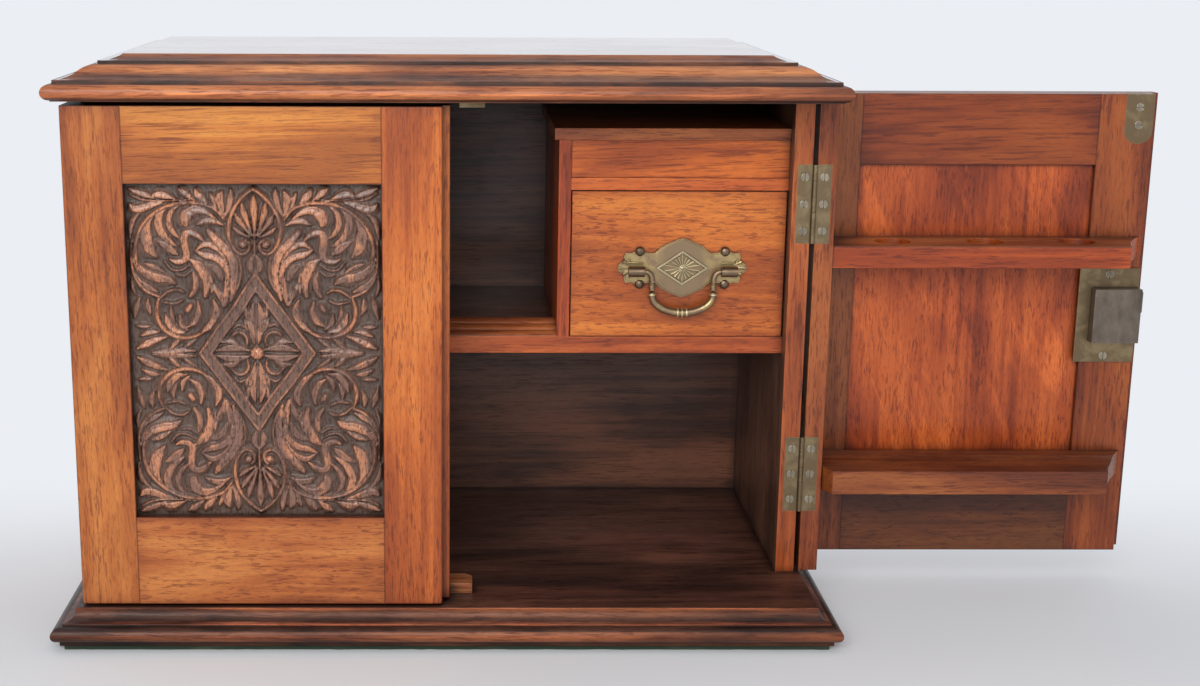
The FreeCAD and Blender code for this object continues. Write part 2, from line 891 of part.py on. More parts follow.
def escutcheon_pin_points():
    reach = escutcheon_height / 2 - escutcheon_pin_inset
    middle = key_z() - key_slot_drop / 2
    return [Vector(key_x, front_y - escutcheon_thickness, middle + reach * way) for way in (-1, 1)]


def escutcheon_pin(point, fit):
    length = escutcheon_thickness + escutcheon_pin_length + fit
    return Part.makeCylinder(escutcheon_pin_radius + fit, length, point, along_y)


def right_meeting_stile():
    """Laps over the left door with a lip on its front half."""
    stile = block(rear_edge_x, opening_left, front_y, inner_y, door_bottom, door_top)
    lip = block(lip_edge_x, rear_edge_x, front_y, front_y + lip_thickness, door_bottom, door_top)
    stile = together([stile, lip])
    stile = stile.makeFillet(door_edge_round, edges_on(stile, x=lip_edge_x, y=front_y))
    stile = stile.cut(stile_groove(opening_left - groove_depth))
    stile = stile.cut(keyhole(front_y, inner_y)).cut(catch_strip(0))
    for head in lock_screw_heads():
        stile = stile.cut(screw_hole(head, -along_y))
    for head in catch_screw_heads():
        stile = stile.cut(screw_hole(head, -along_y, catch_screw_length))
    for point in escutcheon_pin_points():
        stile = stile.cut(escutcheon_pin(point, screw_fit))
    return stile


def slide_screw_heads():
    face = inner_y + slide_plate_thickness
    top = door_top - slide_plate_top
    heights = (top - slide_screw_inset, top - slide_plate_height + slide_screw_inset)
    return [Vector(-slide_x - side * slide_plate_width / 4, face, z)
            for z, side in zip(heights, (-1, 1))]


def left_meeting_stile():
    """Has a tongue on its back half that lies behind the right door's lip."""
    stile = block(-opening_left, left_front_edge_x, front_y, inner_y, door_bottom, door_top)
    tongue = block(left_front_edge_x, left_tongue_edge_x, front_y + lip_thickness + lip_gap,
                   inner_y, door_bottom, door_top)
    stile = together([stile, tongue])
    stile = stile.makeFillet(door_edge_round, edges_on(stile, x=left_front_edge_x, y=front_y))
    stile = stile.cut(mirrored(stile_groove(opening_left - groove_depth)))
    for head in slide_screw_heads():
        stile = stile.cut(screw_hole(head, -along_y))
    return stile


def rail(z0, z1, groove_z):
    """A rail with a tenon at both ends and the panel's groove along one edge."""
    body = block(opening_left, opening_right, front_y, inner_y, z0, z1)
    tenon = block(opening_left - groove_depth, opening_right + groove_depth,
                  groove_front_y, groove_back_y, z0, z1)
    groove = block(opening_left - groove_depth, opening_right + groove_depth,
                   groove_front_y, groove_back_y, groove_z, groove_z + groove_depth)
    return together([body, tenon]).cut(groove)


def top_rail():
    return rail(opening_top, door_top, opening_top)


def bottom_rail():
    return rail(door_bottom, opening_bottom, opening_bottom - groove_depth)


def carved_panel():
    """Flat panel held in the grooves, with the main lines of its carving raised."""
    reach = groove_depth - panel_play
    tongue = block(opening_left - reach, opening_right + reach,
                   groove_front_y + panel_slack, groove_back_y - panel_slack,
                   opening_bottom - reach, opening_top + reach)
    ground_y = front_y + panel_recess
    field = block(opening_left + panel_slack, opening_right - panel_slack,
                  ground_y, inner_y - panel_back_recess,
                  opening_bottom + panel_slack, opening_top - panel_slack)
    return together([field, tongue] + carving(ground_y))


def ring(x, z, y, radius, band):
    """Flat raised ring in the carving."""
    outer = Part.makeCylinder(radius, carving_rise, Vector(x, y, z), -along_y)
    return outer.cut(Part.makeCylinder(radius - band, carving_rise, Vector(x, y, z), -along_y))


def carving(ground_y):
    """Lozenge with its flower, a pointed arch above and below, and eight scrolls."""
    middle_x = (opening_left + opening_right) / 2
    middle_z = (opening_bottom + opening_top) / 2
    half_wide = (opening_right - opening_left) / 2
    half_high = (opening_top - opening_bottom) / 2

    def raised(steps):
        return prism(steps, lambda x, z: Vector(middle_x + x, ground_y - carving_rise, middle_z + z),
                     along_y * carving_rise)

    def lozenge(wide, high):
        return raised([(-wide, 0.0), (0.0, high), (wide, 0.0), (0.0, -high)])

    def arch(inset, way):
        half = arch_wide * half_wide - inset
        foot = (arch_foot * half_high + inset) * way
        peak = (arch_peak * half_high - inset) * way
        return raised([(-half, foot), bowed((-half, foot), (0.0, peak), arch_bow * way),
                       bowed((0.0, peak), (half, foot), arch_bow * way)])

    def scroll(x, z, radius, band):
        return ring(middle_x + x * half_wide, middle_z + z * half_high, ground_y,
                    radius * half_wide, band)
    outer_wide = frame_wide * half_wide
    outer_high = frame_high * half_high
    thinner = 1 - frame_band / outer_wide
    forms = [lozenge(outer_wide, outer_high).cut(lozenge(outer_wide * thinner, outer_high * thinner))]
    forms.append(Part.makeCylinder(flower_radius, carving_rise,
                                   Vector(middle_x, ground_y, middle_z), -along_y))
    for way in (-1, 1):
        forms.append(arch(0, way).cut(arch(arch_band, way)))
        volute_z = middle_z + (arch_foot * half_high + volute_radius) * way
        for side in (-1, 1):
            forms.append(Part.makeCylinder(
                volute_radius, carving_rise,
                Vector(middle_x + volute_x * half_wide * side, ground_y, volute_z), -along_y))
            forms.append(scroll(scroll_x * side, scroll_z * way, scroll_radius, scroll_band))
            forms.append(scroll(eye_x * side, eye_z * way, eye_radius, eye_band))
    return forms


def door_return():
    """The door's own side, which carries the hinges on its back edge."""
    board = block(return_inner_x, half_width, inner_y, return_back_y, door_bottom, door_top)
    for centre in hinge_centres():
        board = board.cut(leaf_box(centre, return_back_y - leaf_thickness))
    for head in leaf_screw_heads(return_back_y):
        board = board.cut(screw_hole(head, -along_y))
    return board


def pipe_rack():
    """Ledge with round holes for pipe bowls, cut back in a curve at its free end."""
    front = inner_y + rack_projection
    ledge = prism([(return_inner_x, inner_y), (return_inner_x, front), (rack_end_front, front),
                   bowed((rack_end_front, front), (rack_end_back, inner_y), rack_end_bow)],
                  lambda x, y: Vector(x, y, rack_z), along_z * rack_thickness)
    ledge = ledge.makeFillet(rack_edge_round, edges_on(ledge, y=front, z=rack_z + rack_thickness))
    for i in range(rack_hole_count):
        place = Vector(rack_hole_first + rack_hole_pitch * i, inner_y + rack_projection / 2, rack_z)
        ledge = ledge.cut(Part.makeCylinder(rack_hole_radius, rack_thickness, place))
    return ledge


def pipe_rest():
    """Deeper ledge with a long shallow groove, clipped so that it clears the case side."""
    top = rest_z + rest_thickness
    front = inner_y + rest_projection
    hinge_end = half_width - rest_hinge_end
    start_y = return_back_y - hinge_gap - leaf_thickness
    ledge = prism([(return_inner_x, inner_y), (return_inner_x, start_y), (hinge_end, front),
                   (rest_end_front, front),
                   bowed((rest_end_front, front), (rack_end_back, inner_y), rack_end_bow)],
                  lambda x, y: Vector(x, y, rest_z), along_z * rest_thickness)
    groove = Part.makeCylinder(rest_groove_radius, half_width,
                               Vector(0, inner_y + rest_projection / 2,
                                      top + rest_groove_radius - rest_groove_depth), along_x)
    return ledge.cut(groove)


# Lock, keyhole plate and catch

def lock_plate():
    plate = block(rear_edge_x, rear_edge_x + lock_plate_width, inner_y, inner_y + lock_plate_thickness,
                  lock_z, lock_z + lock_plate_height)
    for head in lock_screw_heads():
        plate = plate.cut(screw_hole(head, -along_y))
    return plate.cut(keyhole(inner_y, inner_y + lock_plate_thickness))


def bolt_bar(slack, extra):
    """The bolt, or the room it slides in."""
    middle_y = inner_y + lock_plate_thickness + lock_case_thickness / 2
    half = bolt_thickness / 2 + slack
    return block(rear_edge_x - bolt_nose, rear_edge_x - bolt_nose + bolt_length + extra,
                 middle_y - half, middle_y + half,
                 bolt_z() - slack, bolt_z() + bolt_height + slack)


def lock_case():
    face = inner_y + lock_plate_thickness
    low = lock_case_z()
    case = block(rear_edge_x, rear_edge_x + lock_case_width, face, face + lock_case_thickness,
                 low, low + lock_case_height)
    return case.cut(bolt_bar(bolt_fit, bolt_fit)).cut(keyhole(face, face + key_depth))


def lock_screws():
    return Part.Compound([screw(head, -along_y, along_z) for head in lock_screw_heads()])


def keyhole_escutcheon():
    """Oval plate round the keyhole on the door's face."""
    middle = key_z() - key_slot_drop / 2
    half = escutcheon_width / 2
    straight = escutcheon_height / 2 - half
    plate = prism([(-half, -straight), ((0.0, -straight - half), (half, -straight)),
                   (half, straight), ((0.0, straight + half), (-half, straight))],
                  lambda x, z: Vector(key_x + x, front_y - escutcheon_thickness, middle + z),
                  along_y * escutcheon_thickness)
    plate = plate.cut(keyhole(front_y - escutcheon_thickness, front_y))
    for point in escutcheon_pin_points():
        plate = plate.cut(escutcheon_pin(point, screw_fit))
    return plate


def escutcheon_pins():
    return Part.Compound([escutcheon_pin(point, 0) for point in escutcheon_pin_points()])


def catch_plate():
    plate = catch_strip(0)
    for head in catch_screw_heads():
        plate = plate.cut(screw_hole(head, -along_y, catch_screw_length))
    return plate


def catch_plate_screws():
    return Part.Compound([screw(head, -along_y, along_x, catch_screw_length)
                          for head in catch_screw_heads()])


# Slide bolt on the left door, in its own place

def slide_bar(slack, extra):
    top = door_top - slide_bar_top
    half = slide_bar_width / 2 + slack
    y0 = inner_y + slide_plate_thickness + slide_fit
    return block(-slide_x - half, -slide_x + half, y0 - slack, y0 + slide_bar_thickness + slack,
                 top - slide_bar_length - extra, top + extra)


def left_bolt_plate():
    """Plate with two straps that hold the sliding bar."""
    top = door_top - slide_plate_top
    half = slide_plate_width / 2
    face = inner_y + slide_plate_thickness
    plate = block(-slide_x - half, -slide_x + half, inner_y, face, top - slide_plate_height, top)
    strap_face = face + 2 * slide_fit + slide_bar_thickness + slide_strap_thickness
    strap_half = slide_bar_width / 2 + slide_fit + slide_strap_thickness
    straps = [block(-slide_x - strap_half, -slide_x + strap_half, face, strap_face,
                    z, z + slide_strap_height)
              for z in (top - slide_strap_inset - slide_strap_height,
                        top - slide_plate_height + slide_strap_inset)]
    plate = together([plate] + straps).cut(slide_bar(slide_fit, slide_keep_depth))
    for head in slide_screw_heads():
        plate = plate.cut(screw_hole(head, -along_y))
    return plate


def left_bolt():
    bar = slide_bar(0, 0)
    face = inner_y + slide_plate_thickness + slide_fit + slide_bar_thickness
    knob = Part.makeCylinder(slide_knob_radius, slide_knob_height,
                             Vector(-slide_x, face, door_top - slide_knob_drop), along_y)
    return together([bar, knob])


def left_bolt_screws():
    return Part.Compound([screw(head, -along_y, along_z) for head in slide_screw_heads()])


def case_pieces():
    side = case_side()
    return {
        "base_board": base_board(), "baize_pad": baize_pad(),
        "cornice_board": cornice_board(), "top_board": top_board(),
        "right_side": side, "left_side": mirrored(side), "back_panel": back_panel(),
        "shelf": shelf(), "shelf_lip": shelf_lip(), "drawer_divider": drawer_divider(),
        "drawer_case_top": drawer_case_top(), "drawer_frieze": drawer_frieze(),
        "drawer_rail": drawer_rail(), "door_stop_block": door_stop_block(),
        "top_stop": top_stop(), "top_stop_screws": top_stop_screws(),
        "hinge_case_leaves": both_sides(case_leaves()), "hinge_pins": hinge_pins(),
        "hinge_case_screws": both_sides(leaf_screws(side_front_y, along_y)),
    }


def drawer_pieces():
    return {
        "drawer_front": drawer_front(), "drawer_left_side": drawer_side(drawer_x0),
        "drawer_right_side": drawer_side(drawer_x1 - drawer_side_thickness),
        "drawer_back": drawer_back(), "drawer_bottom": drawer_bottom(),
        "handle_backplate": handle_backplate(), "handle_posts": handle_posts(),
        "handle_nuts": handle_nuts(), "handle_bail": handle_bail(),
    }


def shared_door_pieces():
    """What both doors have, for the right-hand door when it is shut."""
    return {
        "hinge_stile": hinge_stile(), "top_rail": top_rail(), "bottom_rail": bottom_rail(),
        "carved_panel": carved_panel(), "return": door_return(),
        "pipe_rack": pipe_rack(), "pipe_rest": pipe_rest(),
        "hinge_door_leaves": door_leaves(),
        "hinge_door_screws": leaf_screws(return_back_y, -along_y),
    }


def right_door_pieces():
    pieces = {"right_" + name: shape for name, shape in shared_door_pieces().items()}
    pieces.update({
        "right_meeting_stile": right_meeting_stile(),
        "lock_plate": lock_plate(), "lock_case": lock_case(), "lock_screws": lock_screws(),
        "lock_bolt": bolt_bar(0, 0), "keyhole_escutcheon": keyhole_escutcheon(),
        "escutcheon_pins": escutcheon_pins(), "catch_plate": catch_plate(),
        "catch_plate_screws": catch_plate_screws(),
    })
    return {name: swung_open(shape) for name, shape in pieces.items()}


def left_door_pieces():
    pieces = {"left_" + name: mirrored(shape) for name, shape in shared_door_pieces().items()}
    pieces.update({
        "left_meeting_stile": left_meeting_stile(), "left_bolt_plate": left_bolt_plate(),
        "left_bolt": left_bolt(), "left_bolt_screws": left_bolt_screws(),
    })
    return pieces


def main():
    os.makedirs("parts", exist_ok=True)
    pieces = {}
    for group in (case_pieces, drawer_pieces, right_door_pieces, left_door_pieces):
        pieces.update(group())
    for name, shape in pieces.items():
        if not shape.isValid():
            raise RuntimeError(name + " is not a valid solid")
        shape.exportStep("parts/" + name + ".step")


main()
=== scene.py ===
import math

import bmesh
import bpy
import numpy as np
from mathutils import Matrix, Vector, noise


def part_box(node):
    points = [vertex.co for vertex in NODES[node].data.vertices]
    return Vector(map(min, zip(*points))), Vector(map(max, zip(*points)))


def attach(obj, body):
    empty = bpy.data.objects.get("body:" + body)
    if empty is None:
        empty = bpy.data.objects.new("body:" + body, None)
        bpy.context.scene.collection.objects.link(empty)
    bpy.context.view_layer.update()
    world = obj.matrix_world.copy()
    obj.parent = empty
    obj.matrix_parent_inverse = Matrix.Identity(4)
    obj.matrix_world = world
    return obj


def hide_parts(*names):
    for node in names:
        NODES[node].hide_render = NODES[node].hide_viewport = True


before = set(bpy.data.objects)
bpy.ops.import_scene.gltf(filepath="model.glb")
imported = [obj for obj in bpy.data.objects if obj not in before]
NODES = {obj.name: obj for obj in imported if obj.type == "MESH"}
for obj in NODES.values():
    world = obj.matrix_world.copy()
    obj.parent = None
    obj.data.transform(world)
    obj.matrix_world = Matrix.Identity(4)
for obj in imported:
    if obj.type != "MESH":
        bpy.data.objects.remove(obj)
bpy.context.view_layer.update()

bl_info = {
    "name": "Carved Oak Pipe Cabinet",
    "version": (1, 0, 0),
    "blender": (4, 5, 0),
    "location": "3D View > Sidebar > Cabinet",
    "description": "Dresses the packed cabinet with its carving, oak, brass, baize and stage",
    "category": "Object",
}

MM = 0.001
SCENE_GROUPS = ("cabinet_oak", "cabinet_carving", "cabinet_metal", "cabinet_stage")


def tone(name, description, default):
    """A colour that a user can change."""
    return bpy.props.FloatVectorProperty(name=name, description=description, subtype="COLOR",
                                         size=3, min=0.0, max=1.0, default=default)


def length(name, description, default):
    """A length that a user can change."""
    return bpy.props.FloatProperty(name=name, description=description, subtype="DISTANCE",
                                   unit="LENGTH", min=0.0, precision=5, default=default)


class OakFinish(bpy.types.PropertyGroup):
    """Colours of the varnished oak, each as deep, body and bright."""
    golden_deep: tone("Golden deep", "Dark figure on the door and drawer fronts", (0.37, 0.088, 0.014))
    golden_body: tone("Golden body", "Main colour of the door and drawer fronts", (0.56, 0.155, 0.025))
    golden_bright: tone("Golden bright", "Light figure on the door and drawer fronts", (0.69, 0.235, 0.044))
    brown_deep: tone("Brown deep", "Dark figure on the cornice and the top", (0.160, 0.045, 0.017))
    brown_body: tone("Brown body", "Main colour of the cornice and the top", (0.340, 0.108, 0.038))
    brown_bright: tone("Brown bright", "Light figure on the cornice and the top", (0.47, 0.175, 0.064))
    dark_deep: tone("Dark deep", "Dark figure on the base", (0.055, 0.018, 0.010))
    dark_body: tone("Dark body", "Main colour of the base", (0.150, 0.047, 0.022))
    dark_bright: tone("Dark bright", "Light figure on the base", (0.260, 0.086, 0.037))
    red_deep: tone("Red deep", "Dark figure inside the doors", (0.17, 0.026, 0.005))
    red_body: tone("Red body", "Main colour inside the doors", (0.305, 0.055, 0.010))
    red_bright: tone("Red bright", "Light figure inside the doors", (0.42, 0.092, 0.018))
    # The dim tones inside the case are a darker stain, partly painted shade.
    dim_deep: tone("Dim deep", "Dark figure inside the case", (0.060, 0.020, 0.012))
    dim_body: tone("Dim body", "Main colour inside the case", (0.135, 0.046, 0.024))
    dim_bright: tone("Dim bright", "Light figure inside the case", (0.220, 0.078, 0.040))
    edge_round: length("Edge softness", "Radius that handling has left on the edges", 0.7 * MM)


class Carving(bpy.types.PropertyGroup):
    """Size and colours of the carved panels."""
    rise: length("Rise", "Height of the carving over its ground", 3.5 * MM)
    pitch: length("Pitch", "Distance between neighbouring points of the carved surface", 0.507 * MM)
    ground: tone("Ground", "Stained ground between the leaves", (0.092, 0.053, 0.037))
    flank: tone("Flank", "Sides of the leaves", (0.200, 0.097, 0.065))
    crest: tone("Crest", "Rubbed tops of the leaves", (0.585, 0.238, 0.114))


class Metalwork(bpy.types.PropertyGroup):
    """Colours of the brass, the lock, the screws and the cloth."""
    brass: tone("Brass", "Clean brass on high places", (0.300, 0.225, 0.125))
    tarnish: tone("Tarnish", "Brown film on old brass", (0.200, 0.142, 0.082))
    verdigris: tone("Verdigris", "Dull green in the hollows", (0.150, 0.140, 0.080))
    gilt: tone("Gilt", "Pale brass of the drawer handle's plate", (0.470, 0.350, 0.165))
    # Rubbed brass, also painted paler as a highlight on the handle's relief and rings.
    rubbed: tone("Rubbed", "Relief of the drawer handle, rubbed pale", (0.500, 0.410, 0.250))
    film: tone("Film", "Brown film on the drawer handle", (0.285, 0.195, 0.122))
    bronze: tone("Bronze", "Darkened lock case", (0.175, 0.140, 0.112))
    steel: tone("Steel", "Old screw heads", (0.330, 0.285, 0.215))
    baize: tone("Baize", "Green cloth under the base", (0.012, 0.034, 0.015))


class Stage(bpy.types.PropertyGroup):
    """Camera, floor and light."""
    eye: bpy.props.FloatVectorProperty(name="Eye", description="Where the camera stands", subtype="XYZ",
                                       unit="LENGTH", size=3, default=(0.00435, -0.9927, 0.3804))
    pitch: bpy.props.FloatProperty(name="Pitch", description="How far the camera looks down",
                                   subtype="ANGLE", default=math.radians(13.04))
    yaw: bpy.props.FloatProperty(name="Yaw", description="How far the camera looks to the right",
                                 subtype="ANGLE", default=math.radians(0.50))
    roll: bpy.props.FloatProperty(name="Roll", description="How far the camera leans",
                                  subtype="ANGLE", default=math.radians(0.22))
    focal_length: bpy.props.FloatProperty(name="Focal length", description="Lens of the camera",
                                          subtype="DISTANCE_CAMERA", unit="CAMERA", default=51.506)
    near_floor: tone("Near floor", "Floor around the cabinet", (0.85, 0.870, 0.895))
    backdrop: tone("Backdrop", "Pale wall behind the cabinet and light of the room", (0.83, 0.855, 0.90))
    room: bpy.props.FloatProperty(name="Room light", description="How strongly the room lights the cabinet",
                                  min=0.0, default=0.38)
    key_power: bpy.props.FloatProperty(name="Key light", description="Power of the large soft lamp",
                                       subtype="POWER", unit="POWER", min=0.0, default=25.0)
    fill_power: bpy.props.FloatProperty(name="Fill light", description="Power of the lamp at the right",
                                        subtype="POWER", unit="POWER", min=0.0, default=3.0)
    top_power: bpy.props.FloatProperty(name="Top light", description="Power of the lamp overhead",
                                       subtype="POWER", unit="POWER", min=0.0, default=7.0)


def feed(tree, socket, value):
    """Link a socket to another one, or set its value."""
    if isinstance(value, bpy.types.NodeSocket):
        tree.links.new(value, socket)
    else:
        socket.default_value = value


class Bench:
    """One material's nodes, with short ways to add what a finish needs."""

    def __init__(self, name):
        self.material = bpy.data.materials.new(name)
        self.material.use_nodes = True
        self.tree = self.material.node_tree
        self.tree.nodes.clear()
        self.shader = self.add("ShaderNodeBsdfPrincipled")
        self.output = self.add("ShaderNodeOutputMaterial")
        self.tree.links.new(self.shader.outputs["BSDF"], self.output.inputs["Surface"])
        self.where = self.add("ShaderNodeTexCoord")

    def add(self, kind, feeds=None, **settings):
        """A node of this kind, with its settings and what its sockets are fed."""
        node = self.tree.nodes.new(kind)
        for name, value in settings.items():
            setattr(node, name, value)
        for socket, value in (feeds or {}).items():
            feed(self.tree, node.inputs[socket], value)
        return node

    def stretched(self, scale, shift=(0.0, 0.0, 0.0), turn=(0.0, 0.0, 0.0)):
        """Object coordinates, shifted to this board's own place in the tree and stretched."""
        return self.add("ShaderNodeMapping", {
            "Vector": self.where.outputs["Object"], "Location": shift, "Rotation": turn,
            "Scale": tuple(1.0 / value for value in scale)}, vector_type="TEXTURE").outputs["Vector"]

    def noise(self, vector, detail=2.0, roughness=0.5, distortion=0.0):
        """Soft noise from 0 to 1."""
        return self.add("ShaderNodeTexNoise", {
            "Vector": vector, "Scale": 1.0, "Detail": detail, "Roughness": roughness,
            "Distortion": distortion}).outputs["Fac"]

    def levels(self, value, low, high, start=0.0, end=1.0):
        """A value eased from the range low to high into the range start to end."""
        return self.add("ShaderNodeMapRange", {
            "Value": value, "From Min": low, "From Max": high, "To Min": start,
            "To Max": end}, interpolation_type="SMOOTHSTEP").outputs["Result"]

    def ramp(self, value, stops):
        """A colour picked by a value, from stops that each have a place and a colour."""
        node = self.add("ShaderNodeValToRGB", {"Fac": value})
        elements = node.color_ramp.elements
        while len(elements) < len(stops):
            elements.new(0.5)
        for element, (place, colour) in zip(elements, stops):
            element.position = place
            element.color = (*colour, 1.0)
        return node.outputs["Color"]

    def mix(self, share, first, second, blend="MIX"):
        """Two colours, mixed by a share of the second."""
        colours = [(*value, 1.0) if isinstance(value, tuple) else value for value in (first, second)]
        node = self.add("ShaderNodeMix", data_type="RGBA", blend_type=blend)
        for socket, value in ((0, share), (6, colours[0]), (7, colours[1])):
            feed(self.tree, node.inputs[socket], value)
        return node.outputs[2]

    def tinted(self, share, colour, tint):
        """The colour, multiplied by a tint for this share."""
        return self.mix(share, colour, self.mix(1.0, colour, tint, "MULTIPLY"))

    def calc(self, operation, first, second=0.0):
        """One step of arithmetic."""
        return self.add("ShaderNodeMath", {0: first, 1: second}, operation=operation).outputs["Value"]

    def place(self, axis):
        """Where a spot lies along one axis of the frame."""
        return self.add("ShaderNodeSeparateXYZ", {"Vector": self.where.outputs["Object"]}).outputs[axis]

    def shelter(self, reach):
        """How closed in a spot is: 1 in the open and 0 deep in a corner."""
        return self.add("ShaderNodeAmbientOcclusion", {"Distance": reach}, samples=8).outputs["AO"]

    def soft_normal(self, radius):
        """The surface's normal, with its edges rounded."""
        return self.add("ShaderNodeBevel", {"Radius": radius}, samples=6).outputs["Normal"]

    def edges(self, radius):
        """1 on a sharp edge and 0 on the flat."""
        true = self.add("ShaderNodeNewGeometry").outputs["True Normal"]
        both = {0: self.soft_normal(radius), 1: true}
        likeness = self.add("ShaderNodeVectorMath", both, operation="DOT_PRODUCT").outputs["Value"]
        return self.levels(likeness, 0.995, 0.86)

    def facing(self, axis, sign, low=0.55, high=0.75):
        """1 where the surface faces along the axis, in the piece's own frame."""
        node = self.add("ShaderNodeSeparateXYZ", {"Vector": self.where.outputs["Normal"]})
        return self.levels(node.outputs[axis], low * sign, high * sign)

    def border(self, low, high):
        """Distance in from the edge of a board's face, measured across X and Z."""
        gaps = []
        for axis in (0, 2):
            middle = (low[axis] + high[axis]) / 2
            away = self.calc("ABSOLUTE", self.calc("SUBTRACT", self.place(axis), middle))
            gaps.append(self.calc("SUBTRACT", (high[axis] - low[axis]) / 2, away))
        return self.calc("MINIMUM", *gaps)

    def course(self, height, low, high):
        """1 between two heights of a moulding and 0 away from them."""
        soft = 0.35 * MM
        return self.calc("MULTIPLY", self.levels(height, low - soft, low + soft),
                         self.levels(height, high + soft, high - soft))

    def bump(self, height, distance, strength, normal=None):
        """Give the shader a fine height, on top of a softened normal where one is given."""
        feeds = {"Height": height, "Distance": distance, "Strength": strength}
        if normal is not None:
            feeds["Normal"] = normal
        feed(self.tree, self.shader.inputs["Normal"], self.add("ShaderNodeBump", feeds).outputs["Normal"])

    def finish(self, **values):
        """Feed the shader's sockets, named with _ for each space, and hand over the material."""
        for socket, value in values.items():
            feed(self.tree, self.shader.inputs[socket.replace("_", " ")], value)
        return self.material


def along_grain(axis, along, across):
    """A pattern's scale with one value along the grain and another across it."""
    return tuple(along if name == axis else across for name in "XYZ")


def own_place(draw):
    """A random shift that gives each piece its own part of a pattern."""
    return tuple(float(value) for value in draw.uniform(-4.0, 4.0, 3))


def times(colour, factor):
    """A colour made lighter or darker."""
    return tuple(min(1.0, factor * value) for value in colour)


def oak_tones(bench, figure, prefix, shade):
    """The deep, body and bright tones of one oak colour, picked by the figure."""
    oak = bpy.context.scene.cabinet_oak
    stops = []
    for place, step in ((0.15, "deep"), (0.50, "body"), (0.88, "bright")):
        colour = np.array(getattr(oak, prefix + "_" + step)) * shade
        stops.append((place, tuple(float(value) for value in colour)))
    return bench.ramp(figure, stops)


